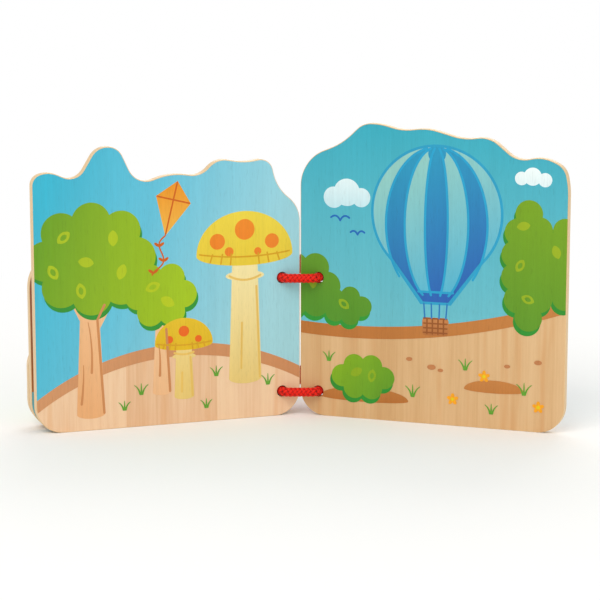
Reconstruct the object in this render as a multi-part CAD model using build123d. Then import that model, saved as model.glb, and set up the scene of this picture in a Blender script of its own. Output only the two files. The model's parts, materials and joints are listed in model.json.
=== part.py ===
from build123d import *
import math
import os

os.makedirs("parts", exist_ok=True)

# A child's laced board book: four wooden boards held at the spine by two cord loops.
# It stands open like a V on its bottom edges, +Z up, readers on the -Y side.
# Three boards stand on the left (cover, middle leaf, left leaf) and one on the right (back cover).

# Boards
board_width = 142.0
board_thick = 5.0
edge_round = 0.4
corner_share = 0.48
foot_radius = 14.0
cover_height = 97.0
middle_height = 118.0
left_height = 144.5
back_height = 154.6

# Lacing holes and cord loops
hole_dia = 6.0
hole_inset = 10.0
lower_hole_z = 13.0
upper_hole_z = 73.5
cord_dia = 5.0
cord_bend = 4.0
mouth_reach = 3.3
rear_reach = 4.8
spine_slack = 4.0
knot_length = 16.0
knot_height = 14.0
knot_depth = 9.5
knot_round = 4.2
knot_lift = 3.6
tail_length = 11.0
tail_dia = 4.5
tail_spread = 38.0
tail_lean = 35.0

# How the boards hang on the cords, and how the book stands
closed_gap = 0.5
page_pivot_reach = 0.05
loop_pivot_reach = 4.0
page_lean = 20.5
leaf_fan = 2.3
cover_fan = 0.5

# Print: a film of ink on the flat of each face
ink_thick = 0.12
edge_stripe = 6.5
rim_line = 1.4
shade_out = 0.8
shade_drop = 2.4
lobe_fill = 0.62

# Top outlines, from the spine to the outer edge, as the corners that round arcs blend.
# Each is a share of the board's width and a drop below the board's highest run.
cover_top = [(0.0, 5.0), (0.05, 0.0), (0.20, 0.0), (0.37, 5.0), (0.55, 23.0), (0.70, 40.0),
             (0.84, 50.0), (0.96, 53.0), (1.0, 61.0)]
middle_top = [(0.0, 21.0), (0.06, 14.5), (0.17, 13.5), (0.32, 0.0), (0.48, 0.0), (0.63, 6.0),
              (0.76, 23.0), (0.87, 29.0), (0.965, 31.0), (1.0, 40.0)]
left_top = [(0.0, 34.0), (0.088, 24.0), (0.117, 7.7), (0.211, 10.3), (0.320, 7.5), (0.380, 16.5),
            (0.493, 14.2), (0.620, 20.3), (0.687, 0.0), (0.764, 0.0), (0.839, 17.5),
            (0.937, 11.4), (1.0, 14.0)]
back_top = [(0.0, 27.1), (0.050, 16.8), (0.160, 10.8), (0.240, 0.0), (0.306, 0.0), (0.391, 3.4),
            (0.480, 1.5), (0.620, 7.0), (0.711, 5.0), (0.815, 17.2), (0.905, 14.2),
            (0.985, 19.4), (1.0, 29.0)]


def rounded(corners, foot_corners):
    """A closed outline through corners rounded as far as their runs allow, on a square foot."""
    loop = corners + foot_corners
    radii = []
    for index, corner in enumerate(loop):
        into = Vector(corner) - Vector(loop[index - 1])
        out = Vector(loop[(index + 1) % len(loop)]) - Vector(corner)
        half_turn = math.radians(into.get_angle(out)) / 2
        largest = corner_share * min(into.length, out.length) / math.tan(half_turn)
        radii.append(min(largest, foot_radius) if corner in foot_corners else largest)
    return make_face(FilletPolyline(*loop, radius=radii, close=True))


def flat_board(height, top):
    """One board lying on its back: x runs from the spine edge, y up the board, z through it."""
    crest = [(share * board_width, height - drop) for share, drop in top]
    outline = rounded(crest, [(board_width, 0), (0, 0)])
    blank = extrude(Pos(0, 0, -board_thick / 2) * outline, board_thick)
    sides = blank.faces().sort_by(Axis.Z)
    board = fillet(sides[0].edges() + sides[-1].edges(), edge_round)
    for hole_z in (lower_hole_z, upper_hole_z):
        board -= Pos(hole_inset, hole_z) * Cylinder(hole_dia / 2, 2 * board_thick)
    return board


def page_area(board, side):
    """The flat, printable area of one face of a board, as a face in the plane z = 0."""
    flats = board.faces().filter_by(Axis.Z).sort_by(Axis.Z)
    flat = flats[-1] if side > 0 else flats[0]
    return Sketch() + Pos(0, 0, -flat.center().Z) * flat


def print_page(board, side, layers):
    """Ink films of one page. layers run from the top motif down, and a later one shows
    only where those before it leave room. A layer with no name stays bare wood."""
    free = page_area(board, side)
    films = {}
    for name, shape in layers:
        field = free & shape
        free = free - shape
        if name:
            films[name] = Pos(0, 0, side * board_thick / 2) * extrude(
                field, ink_thick, dir=(0, 0, side)
            )
    return films


class Page:
    """One face of a board as a drawing sheet: places and sizes are shares of the board's own.

    A place is a share of the width from the spine edge and a share of the height above the foot.
    A size is a share of the width, so a motif keeps its form when the board changes.
    """

    def __init__(self, height):
        self.height = height

    def at(self, share, rise):
        """The place of a motif's middle."""
        return Pos(share * board_width, rise * self.height)

    def ground(self, line, sink=0.0):
        """Everything below a gently bent ground line, which has its rise at the spine, the middle
        and the outer edge, and which sink lowers."""
        left, right = -0.05 * board_width, 1.05 * board_width
        spine_z, middle_z, outer_z = (rise * self.height - sink for rise in line)
        top = ThreePointArc((left, spine_z), (board_width / 2, middle_z), (right, outer_z))
        below = Polyline((right, outer_z), (right, left), (left, left), (left, spine_z))
        return make_face([top] + below.edges())

    def whole(self):
        """A shape that covers the page, for the field that fills the rest."""
        return self.at(0.5, 0.5) * Rectangle(2 * board_width, 2 * self.height)

    def foliage(self, masses):
        """Leafy masses with scalloped edges: each an oval with round lobes evenly along its rim."""
        leaves = Sketch()
        for share, rise, half_width, half_height, count in masses:
            mass = Ellipse(half_width * board_width, half_height * board_width)
            rim = mass.edge()
            lobe = Circle(lobe_fill * rim.length / count)
            for number in range(count):
                mass += Pos(*(rim @ (number / count))) * lobe
            leaves += self.at(share, rise) * mass
        return leaves

    def marks(self, places, long_share):
        """Leaf marks, pointed at both ends. Every other one is a ring."""
        made = Sketch()
        for number, (share, rise) in enumerate(places):
            leaf = leaf_outline(long_share * board_width)
            if number % 2:
                leaf -= leaf_outline(0.5 * long_share * board_width)
            made += self.at(share, rise) * Rot(0, 0, 50 * number) * leaf
        return made

    def post(self, share, low, high, foot_half, top_half):
        """An upright stem or trunk that tapers, with a rounded foot."""
        low_z, high_z = low * self.height, high * self.height
        foot, top = foot_half * board_width, top_half * board_width
        shaft = make_face(Polyline(
            (-foot, low_z), (foot, low_z), (top, high_z), (-top, high_z), close=True
        ))
        return self.at(share, 0) * (shaft + Pos(0, low_z) * Ellipse(foot, foot / 3))

    def branch(self, share, rise, turn, long_share, half_share):
        """A branch that leaves its trunk at a turn from upright and tapers to its tip."""
        long, half = long_share * board_width, half_share * board_width
        limb = make_face(Polyline((-half, 0), (half, 0), (half / 2, long), (-half / 2, long), close=True))
        return self.at(share, rise) * Rot(0, 0, turn) * (limb + Circle(half))

    def toadstool(self, share, foot, cap, cap_share):
        """Cap and stem of one toadstool."""
        half = cap_share * board_width / 2
        dome = Ellipse(half, 0.86 * half) & (Pos(0, half) * Rectangle(4 * half, 2 * half))
        skirt = self.at(share, cap) * Pos(0, -0.42 * half) * Ellipse(0.40 * half, 0.10 * half)
        stem = self.post(share, foot, cap, 0.17 * cap_share, 0.13 * cap_share)
        return self.at(share, cap) * (dome + Ellipse(half, 0.22 * half)), stem + skirt

    def dots(self, places):
        """Round spots, each with its place and radius."""
        spots = Sketch()
        for share, rise, radius in places:
            spots += self.at(share, rise) * Circle(radius * board_width)
        return spots

    def mound(self, share, rise, half_share, rise_share):
        """A low heap of earth: flat below and round above."""
        half, tall = half_share * board_width, rise_share * board_width
        heap = Ellipse(half, tall) & (Pos(0, tall) * Rectangle(3 * half, 2 * tall))
        return self.at(share, rise) * (heap + Ellipse(half, 0.3 * tall))


def leaf_outline(long):
    """A leaf shape between two arcs that meet in a point at each end."""
    half, bulge = long / 2, 0.31 * long
    return make_face([
        ThreePointArc((0, -half), (bulge, 0), (0, half)),
        ThreePointArc((0, half), (-bulge, 0), (0, -half)),
    ])


def shaded(shape):
    """A motif's shade: the same shape moved outwards and down, to show along its lower edge."""
    return Pos(-shade_out, -shade_drop) * shape


def kite_outline():
    """A kite: a long lower half and a short upper one."""
    half, tall = 0.067 * board_width, 0.092 * board_width
    return make_face(Polyline(
        (0, tall), (half, 0.25 * tall), (0, -1.2 * tall), (-half, 0.25 * tall), close=True
    ))


def left_page_layers(page):
    """The left-hand page: toadstools, a kite and round trees on a hill."""
    tall_cap, tall_stem = page.toadstool(0.215, 0.15, 0.60, 0.37)
    small_cap, small_stem = page.toadstool(0.45, 0.10, 0.29, 0.22)
    crowns = page.foliage([(0.79, 0.61, 0.165, 0.130, 8), (0.535, 0.47, 0.085, 0.070, 6)])
    trunks = page.post(0.80, 0.06, 0.60, 0.052, 0.026) + page.post(0.535, 0.12, 0.43, 0.034, 0.018)
    for share, rise, turn, long_share in ((0.80, 0.34, 32, 0.17), (0.80, 0.37, -30, 0.15),
                                          (0.535, 0.29, 28, 0.09)):
        trunks += page.branch(share, rise, turn, long_share, 0.022)
    spots = page.dots([
        (0.215, 0.69, 0.038), (0.11, 0.645, 0.027), (0.32, 0.65, 0.029), (0.165, 0.61, 0.014),
        (0.275, 0.612, 0.017), (0.45, 0.335, 0.020), (0.395, 0.305, 0.013), (0.505, 0.307, 0.014),
    ])
    hill = (0.15, 0.29, 0.08)
    return [
        ("toadstool_spots", spots),
        ("toadstool_caps", tall_cap + small_cap),
        ("toadstool_stems", tall_stem + small_stem),
        ("kite", page.at(0.49, 0.785) * Rot(0, 0, 14) * kite_outline()),
        ("tree_leaf_marks", page.marks([
            (0.71, 0.68), (0.89, 0.69), (0.81, 0.60), (0.93, 0.57), (0.68, 0.56), (0.565, 0.50),
            (0.51, 0.445), (0.83, 0.50),
        ], 0.058)),
        ("tree_crowns", crowns),
        ("tree_crown_rims", shaded(crowns)),
        ("tree_trunks", trunks),
        (None, page.ground(hill, sink=edge_stripe)),
        ("left_hill_edge", page.ground(hill)),
        ("left_sky", page.whole()),
    ]


def balloon(radius):
    """Hot-air balloon about its middle: envelope, its outline, its dark gores and its basket.

    The crown and the band at the mouth hold the gores' tips, so no tip runs out to nothing.
    """
    mouth_half = 0.2 * radius
    mouth_drop = 1.36 * radius

    def shell(grow):
        width = radius + grow
        skirt = make_face(Polyline(
            (-0.86 * width, -0.5 * width), (0.86 * width, -0.5 * width),
            (mouth_half + grow, -mouth_drop - grow), (-mouth_half - grow, -mouth_drop - grow),
            close=True
        ))
        return Circle(width) + skirt

    def gore(share):
        return Pos(0, -0.18 * radius) * Ellipse(share * radius, 1.18 * radius)

    envelope = shell(0)
    crown = Pos(0, 0.9 * radius) * Circle(0.14 * radius)
    band = Pos(0, -mouth_drop) * Rectangle(radius, 0.3 * radius)
    panels = ((gore(0.80) - gore(0.50)) + gore(0.18) + crown + band) & envelope
    weave = RectangleRounded(0.42 * radius, 0.28 * radius, 0.06 * radius)
    basket = Pos(0, -mouth_drop - 0.38 * radius) * weave
    return envelope, shell(rim_line), panels, basket


def right_page_layers(page):
    """The right-hand page: a balloon over a hedge, tall bushes and heaps of earth."""
    centre = page.at(0.52, 0.71)
    envelope, rim, panels, basket = (centre * shape for shape in balloon(0.237 * board_width))
    small_bush = page.foliage([(0.245, 0.145, 0.080, 0.045, 6)])
    bushes = page.foliage([(0.02, 0.45, 0.085, 0.075, 6), (0.18, 0.385, 0.060, 0.035, 5),
                           (0.86, 0.55, 0.050, 0.185, 10), (0.99, 0.56, 0.050, 0.120, 8)])
    marks = page.marks([
        (0.05, 0.46), (0.17, 0.39), (0.84, 0.68), (0.83, 0.55), (0.96, 0.60), (0.86, 0.44),
        (0.22, 0.16), (0.28, 0.15),
    ], 0.05)
    clouds = page.dots([(0.13, 0.75, 0.039), (0.18, 0.768, 0.05), (0.235, 0.752, 0.035),
                        (0.83, 0.835, 0.024), (0.87, 0.842, 0.032), (0.915, 0.832, 0.025)])
    hill = (0.33, 0.335, 0.46)
    return [
        ("balloon_basket", basket),
        ("balloon_panels", panels),
        ("balloon_envelope", envelope),
        ("balloon_rim", rim),
        ("bush_leaf_marks", marks),
        ("small_bush", small_bush),
        ("small_bush_rim", shaded(small_bush)),
        ("earth_mounds", page.mound(0.25, 0.07, 0.17, 0.042) + page.mound(0.74, 0.13, 0.11, 0.036)),
        ("hedge_and_bushes", bushes),
        ("hedge_rims", shaded(bushes)),
        (None, page.ground(hill, sink=edge_stripe)),
        ("right_hill_edge", page.ground(hill)),
        ("clouds", clouds),
        ("right_sky", page.whole()),
    ]


def plain_layers(page, name, hill):
    """A face that is out of sight in the open book: sky over a bare hill with a brown edge."""
    return [
        (None, page.ground(hill, sink=edge_stripe)),
        (name + "_hill_edge", page.ground(hill)),
        (name + "_sky", page.whole()),
    ]


def plan_point(place, across, through):
    """A point of the standing book seen from above, from a place in a board's own frame."""
    spot = (place * Pos(across, through, 0)).position
    return (spot.X, spot.Y)


def cord_loop(front, rear, hole_z):
    """One cord loop: through the four holes, across the open page, and round the spine to a knot.

    front and rear hold the places where the cord's runs meet, seen from above.
    """
    left_mouth, right_mouth = front
    cover_turn, spine_turn, back_turn = rear
    run = (back_turn[0] - spine_turn[0], back_turn[1] - spine_turn[1])
    run_length = math.hypot(*run)
    heading = math.degrees(math.atan2(run[1], run[0]))
    knot = (spine_turn[0] + run[0] / 2, spine_turn[1] + run[1] / 2)
    nudge = knot_length / 4 / run_length
    start = (knot[0] + run[0] * nudge, knot[1] + run[1] * nudge)
    finish = (knot[0] - run[0] * nudge, knot[1] - run[1] * nudge)
    corners = [start, back_turn, right_mouth, left_mouth, cover_turn, spine_turn, finish]
    route = FilletPolyline(*[(x, y, hole_z) for x, y in corners], radius=cord_bend)
    tube = sweep(Plane(route @ 0, z_dir=route % 0) * Circle(cord_dia / 2), path=route)
    pad = Box(knot_length, knot_depth, knot_height)
    body = Pos(0, 0, knot_lift) * fillet(pad.edges(), knot_round)
    for side in (1, -1):
        tail = Pos(0, 0, tail_length / 2) * Cylinder(tail_dia / 2, tail_length)
        root = Pos(side * knot_length / 5, 0, knot_lift + knot_height / 4)
        body += root * Rot(-tail_lean, side * tail_spread, 0) * tail
    loop = tube + Pos(knot[0], knot[1], hole_z) * Rot(0, 0, heading) * body
    print(f"cord at {hole_z}: {route.length:.1f} mm of route, bends of {cord_bend} mm")
    return loop


def main():
    """Build every piece, stand the book up, centre it and write one file for each node."""
    flat_boards = {
        "front_cover": flat_board(cover_height, cover_top),
        "middle_leaf": flat_board(middle_height, middle_top),
        "left_leaf": flat_board(left_height, left_top),
        "back_cover": flat_board(back_height, back_top),
    }
    cover_page = Page(cover_height)
    middle_page = Page(middle_height)
    left_page = Page(left_height)
    back_page = Page(back_height)
    cover_hill = (0.35, 0.27, 0.08)
    prints = {
        "front_cover": [
            (-1, plain_layers(cover_page, "cover_inside", (0.19, 0.31, 0.10))),
            (1, [(None, cover_page.ground(cover_hill, sink=edge_stripe)),
                 ("cover_hill_edge", cover_page.ground(cover_hill)),
                 ("cover_meadow", cover_page.whole())]),
        ],
        "middle_leaf": [
            (-1, [("middle_pool", middle_page.ground((0.19, 0.21, 0.16))),
                  ("middle_earth", middle_page.whole())]),
            (1, plain_layers(middle_page, "middle_back", (0.22, 0.31, 0.14))),
        ],
        "left_leaf": [
            (-1, left_page_layers(left_page)),
            (1, plain_layers(left_page, "left_back", (0.21, 0.17, 0.26))),
        ],
        "back_cover": [
            (1, right_page_layers(back_page)),
            (-1, plain_layers(back_page, "back_outside", (0.16, 0.25, 0.13))),
        ],
    }

    # Where each board's own frame stands: x from the spine edge, y through the board, z up.
    face_step = (closed_gap + board_thick) / 2
    leaf_step = board_thick + closed_gap
    left_place = Rot(0, 0, 180 + page_lean) * Pos(page_pivot_reach, -face_step, 0)
    back_place = Rot(0, 0, -page_lean) * Pos(page_pivot_reach, face_step, 0)
    loop_pivot = Pos(-loop_pivot_reach, -leaf_step / 2, 0)

    def behind(place, fan):
        return place * loop_pivot * Rot(0, 0, -fan) * loop_pivot.inverse() * Pos(0, -leaf_step, 0)

    middle_place = behind(left_place, leaf_fan)
    cover_place = behind(middle_place, cover_fan)
    places = {
        "front_cover": cover_place,
        "middle_leaf": middle_place,
        "left_leaf": left_place,
        "back_cover": back_place,
    }

    solids = {}
    for board_name, flat in flat_boards.items():
        place = places[board_name] * Rot(90, 0, 0)
        solids[board_name] = place * flat
        for side, layers in prints[board_name]:
            for name, film in print_page(flat, side, layers).items():
                solids[name] = place * film

    # The cords' corners, seen from above.
    face = board_thick / 2
    front = (
        plan_point(left_place, hole_inset, face + mouth_reach),
        plan_point(back_place, hole_inset, -face - mouth_reach),
    )
    rear = (
        plan_point(cover_place, hole_inset, -face - rear_reach),
        plan_point(cover_place, -spine_slack, -face - rear_reach),
        plan_point(back_place, hole_inset, face + rear_reach),
    )
    solids["lower_cord"] = cord_loop(front, rear, lower_hole_z)
    solids["upper_cord"] = cord_loop(front, rear, upper_hole_z)

    # The frame's origin is under the middle of the whole book.
    box = Compound(children=[Compound(s.wrapped) for s in solids.values()]).bounding_box()
    centring = Pos(-box.center().X, -box.center().Y, -box.min.Z)
    for name, solid in solids.items():
        export_step(Compound((centring * solid).wrapped), f"parts/{name}.step")

    pivots = {
        "page_fold": centring,
        "leaf_fold": centring * left_place * loop_pivot,
        "cover_fold": centring * middle_place * loop_pivot,
    }
    for name, pivot in pivots.items():
        print(f"{name} axis at x {pivot.position.X:.3f}, y {pivot.position.Y:.3f}")
    foot = (centring * left_place * Pos(board_width / 2, 0, 0)).position
    print(f"left foot at x {foot.X:.3f}, y {foot.Y:.3f}")
    print("book", [round(v, 2) for v in box.size], "nodes", len(solids))


main()
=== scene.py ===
"""Looks of a child's laced wooden book, standing open like a V on its bottom edges.

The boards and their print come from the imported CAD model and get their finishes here. The two lacing
cords are braided and tied here, strand by strand, and the fine lines of the print are laid over its
fields. Sizes are in millimetres in this file, and Blender's own are in metres.
"""

from __future__ import annotations

import json
import logging
import math
from dataclasses import dataclass
from enum import Enum
from typing import Any, Iterable, Sequence

import bmesh
import bpy
import numpy as np
from mathutils import Matrix, Vector
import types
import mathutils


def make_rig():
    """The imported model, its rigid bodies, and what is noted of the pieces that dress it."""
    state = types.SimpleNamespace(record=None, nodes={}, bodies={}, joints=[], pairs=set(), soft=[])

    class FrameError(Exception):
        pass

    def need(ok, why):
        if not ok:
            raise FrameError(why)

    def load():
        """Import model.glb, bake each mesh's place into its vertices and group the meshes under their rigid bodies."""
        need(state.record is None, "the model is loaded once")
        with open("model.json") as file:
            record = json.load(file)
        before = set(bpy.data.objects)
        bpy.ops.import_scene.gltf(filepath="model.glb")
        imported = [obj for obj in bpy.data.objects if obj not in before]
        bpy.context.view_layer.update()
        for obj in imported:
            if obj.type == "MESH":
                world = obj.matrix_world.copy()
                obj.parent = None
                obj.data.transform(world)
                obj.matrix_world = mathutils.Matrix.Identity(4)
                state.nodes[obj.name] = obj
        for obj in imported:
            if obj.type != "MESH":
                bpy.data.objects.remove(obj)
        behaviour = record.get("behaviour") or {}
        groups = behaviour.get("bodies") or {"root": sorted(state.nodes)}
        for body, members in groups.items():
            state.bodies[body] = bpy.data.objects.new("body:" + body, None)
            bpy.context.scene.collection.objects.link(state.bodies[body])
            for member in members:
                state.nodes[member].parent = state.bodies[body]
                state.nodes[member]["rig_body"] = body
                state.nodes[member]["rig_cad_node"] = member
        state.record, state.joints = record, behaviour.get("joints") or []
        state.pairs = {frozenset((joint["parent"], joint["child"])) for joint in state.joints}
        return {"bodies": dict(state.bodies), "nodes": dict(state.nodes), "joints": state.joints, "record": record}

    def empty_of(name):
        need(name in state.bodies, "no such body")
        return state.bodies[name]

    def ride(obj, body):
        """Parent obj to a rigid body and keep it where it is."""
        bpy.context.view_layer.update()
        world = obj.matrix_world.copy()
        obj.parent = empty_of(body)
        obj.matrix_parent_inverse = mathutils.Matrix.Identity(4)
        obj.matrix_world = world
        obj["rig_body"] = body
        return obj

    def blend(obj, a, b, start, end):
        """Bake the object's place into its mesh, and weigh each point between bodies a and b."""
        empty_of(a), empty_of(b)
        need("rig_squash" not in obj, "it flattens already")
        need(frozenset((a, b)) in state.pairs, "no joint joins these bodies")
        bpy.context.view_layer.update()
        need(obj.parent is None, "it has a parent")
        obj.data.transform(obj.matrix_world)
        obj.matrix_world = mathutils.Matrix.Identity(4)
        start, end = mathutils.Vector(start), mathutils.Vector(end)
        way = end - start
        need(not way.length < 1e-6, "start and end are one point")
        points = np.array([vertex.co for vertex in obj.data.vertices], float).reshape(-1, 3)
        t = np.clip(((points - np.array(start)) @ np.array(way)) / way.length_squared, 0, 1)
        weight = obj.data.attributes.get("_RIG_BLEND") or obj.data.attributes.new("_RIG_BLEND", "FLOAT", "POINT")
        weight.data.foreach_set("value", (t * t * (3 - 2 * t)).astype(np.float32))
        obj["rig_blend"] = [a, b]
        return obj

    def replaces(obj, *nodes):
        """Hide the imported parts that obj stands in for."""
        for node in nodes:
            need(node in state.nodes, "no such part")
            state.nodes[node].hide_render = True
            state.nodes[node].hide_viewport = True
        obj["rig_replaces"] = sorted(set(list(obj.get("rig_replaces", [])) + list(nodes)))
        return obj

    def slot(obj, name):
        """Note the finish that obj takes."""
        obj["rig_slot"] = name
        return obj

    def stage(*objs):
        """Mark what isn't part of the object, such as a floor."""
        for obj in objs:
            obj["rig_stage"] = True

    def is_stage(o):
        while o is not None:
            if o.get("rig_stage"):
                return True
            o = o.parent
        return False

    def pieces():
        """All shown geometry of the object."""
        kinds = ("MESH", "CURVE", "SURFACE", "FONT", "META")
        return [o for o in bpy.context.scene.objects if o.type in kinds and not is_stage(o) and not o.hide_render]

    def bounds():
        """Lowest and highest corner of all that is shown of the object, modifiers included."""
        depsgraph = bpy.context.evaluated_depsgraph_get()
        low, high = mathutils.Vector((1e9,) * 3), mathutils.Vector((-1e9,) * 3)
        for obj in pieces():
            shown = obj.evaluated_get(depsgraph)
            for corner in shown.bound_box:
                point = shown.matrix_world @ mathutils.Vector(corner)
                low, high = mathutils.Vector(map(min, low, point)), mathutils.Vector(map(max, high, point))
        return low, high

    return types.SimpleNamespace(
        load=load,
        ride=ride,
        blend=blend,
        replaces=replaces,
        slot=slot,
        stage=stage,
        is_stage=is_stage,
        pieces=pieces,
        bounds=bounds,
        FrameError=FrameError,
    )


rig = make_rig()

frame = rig.load()
cad_low, cad_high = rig.bounds()

log = logging.getLogger("wooden_book")

MM = 0.001

# How the boards stand, as in the CAD source.
PAGE_LEAN = 20.5
PIVOT_REACH = 0.05
LOOP_REACH = 4.0
LEAF_STEP = 5.5
LEAF_FAN = 2.3
COVER_FAN = 0.5
BOARD_WIDTH = 142.0
HALF_THICK = 2.5
INK_THICK = 0.12
UPPER_HOLE = 73.5
LOWER_HOLE = 13.0

GRASS_GREEN = "5B9B2E"

Tree = bpy.types.NodeTree
Socket = bpy.types.NodeSocket
Piece = bpy.types.Object
Stops = Sequence[tuple[float, str]]
Spot = tuple[float, float]


# Small helpers


def linear(hex_colour: str) -> tuple[float, float, float, float]:
    """Turns an sRGB colour into the linear one that Blender's sockets take.

    Args:
        hex_colour: The colour as six hexadecimal digits.

    Returns:
        Red, green, blue and an alpha of 1.
    """
    channels = []
    for start in (0, 2, 4):
        value = int(hex_colour[start:start + 2], 16) / 255
        channels.append(value / 12.92 if value <= 0.04045 else ((value + 0.055) / 1.055) ** 2.4)
    return (*channels, 1.0)


def add(tree: Tree, kind: str, inputs: dict | None = None, out: int | str = 0,
        stops: Stops = (), **settings: Any) -> Socket:
    """Adds one node with its settings, values and links.

    Args:
        tree: The node tree that gets it.
        kind: The node's type name, without its ShaderNode.
        inputs: Its sockets by name or number, each with a value or the socket that feeds it.
        out: The output that is wanted, by name or number.
        stops: For a colour ramp, its places from 0 to 1, each with its colour.
        settings: The node's own properties.

    Returns:
        The new node's output socket.
    """
    node = tree.nodes.new(f"ShaderNode{kind}")
    for name, value in settings.items():
        setattr(node, name, value)
    for number, (place, colour) in enumerate(stops):
        marks = node.color_ramp.elements
        mark = marks[number] if number < len(marks) else marks.new(place)
        mark.position = place
        mark.color = linear(colour)
    for socket, value in (inputs or {}).items():
        if isinstance(value, Socket):
            tree.links.new(value, node.inputs[socket])
        else:
            node.inputs[socket].default_value = value
    return node.outputs[out]


def mesh_object(name: str, points: np.ndarray, faces: Sequence[Sequence[int]]) -> Piece:
    """Makes a mesh object from points in millimetres and links it to the scene.

    Args:
        name: The piece's name.
        points: One row for each point.
        faces: The point numbers of each face.

    Returns:
        The linked object.
    """
    mesh = bpy.data.meshes.new(name)
    mesh.from_pydata((np.asarray(points) * MM).tolist(), [], [list(face) for face in faces])
    mesh.update()
    piece = bpy.data.objects.new(name, mesh)
    bpy.context.scene.collection.objects.link(piece)
    return piece


def new_material(name: str) -> tuple[bpy.types.Material, Tree, bpy.types.Node]:
    """Makes a material with a plain shader.

    Args:
        name: The material's name.

    Returns:
        The material, its node tree and its shader.
    """
    material = bpy.data.materials.new(name)
    material.use_nodes = True
    return material, material.node_tree, material.node_tree.nodes["Principled BSDF"]


def dress(node: str, material: bpy.types.Material) -> None:
    """Gives a CAD node its finish.

    Args:
        node: The node's name.
        material: The finish.
    """
    slots = frame["nodes"][node].material_slots
    if slots:
        slots[0].material = material
    else:
        frame["nodes"][node].data.materials.append(material)
    log.info("%s is dressed", node)


# Places


class Side(Enum):
    """The side of a board that a page is on, as the sign of its depth in the board's own frame."""

    TOWARDS_Y = 1
    AGAINST_Y = -1


@dataclass(frozen=True)
class BoardPlace:
    """Where one board's own frame stands: x from its spine edge, y through it, z up.

    Attributes:
        body: The CAD body that the board is.
        matrix: Its frame in the standing book, in millimetres.
    """

    body: str
    matrix: Matrix

    @property
    def turn(self) -> float:
        """The frame's turn about the upright axis, in radians."""
        return math.atan2(self.matrix[1][0], self.matrix[0][0])

    def point(self, across: float, through: float, height: float = 0.0) -> Vector:
        """Returns a place on the board as a point of the standing book, in millimetres."""
        return self.matrix @ Vector((across, through, height))


def book_places() -> dict[str, BoardPlace]:
    """Stands the four boards up as the CAD source does.

    Returns:
        The boards' places by body name.
    """
    def turned(degrees: float) -> Matrix:
        """Returns a turn about the upright axis."""
        return Matrix.Rotation(math.radians(degrees), 4, "Z")

    def moved(x: float, y: float) -> Matrix:
        """Returns a move over the floor."""
        return Matrix.Translation((x, y, 0))

    def behind(front: Matrix, fan: float) -> Matrix:
        """Returns the place of the board behind another, fanned out from it by some degrees."""
        pivot = moved(-LOOP_REACH, -LEAF_STEP / 2)
        return front @ pivot @ turned(-fan) @ pivot.inverted() @ moved(0, -LEAF_STEP)

    page_fold = next(joint for joint in frame["joints"] if joint["name"] == "page_fold")
    centre = moved(page_fold["pos_m"][0] / MM, page_fold["pos_m"][1] / MM)
    left = centre @ turned(180 + PAGE_LEAN) @ moved(PIVOT_REACH, -LEAF_STEP / 2)
    back = centre @ turned(-PAGE_LEAN) @ moved(PIVOT_REACH, LEAF_STEP / 2)
    middle = behind(left, LEAF_FAN)
    cover = behind(middle, COVER_FAN)
    return {
        "left_leaf": BoardPlace("left_leaf", left),
        "middle_leaf": BoardPlace("middle_leaf", middle),
        "front_cover": BoardPlace("front_cover", cover),
        "back_cover": BoardPlace("back_cover", back),
    }


# Finishes


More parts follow.
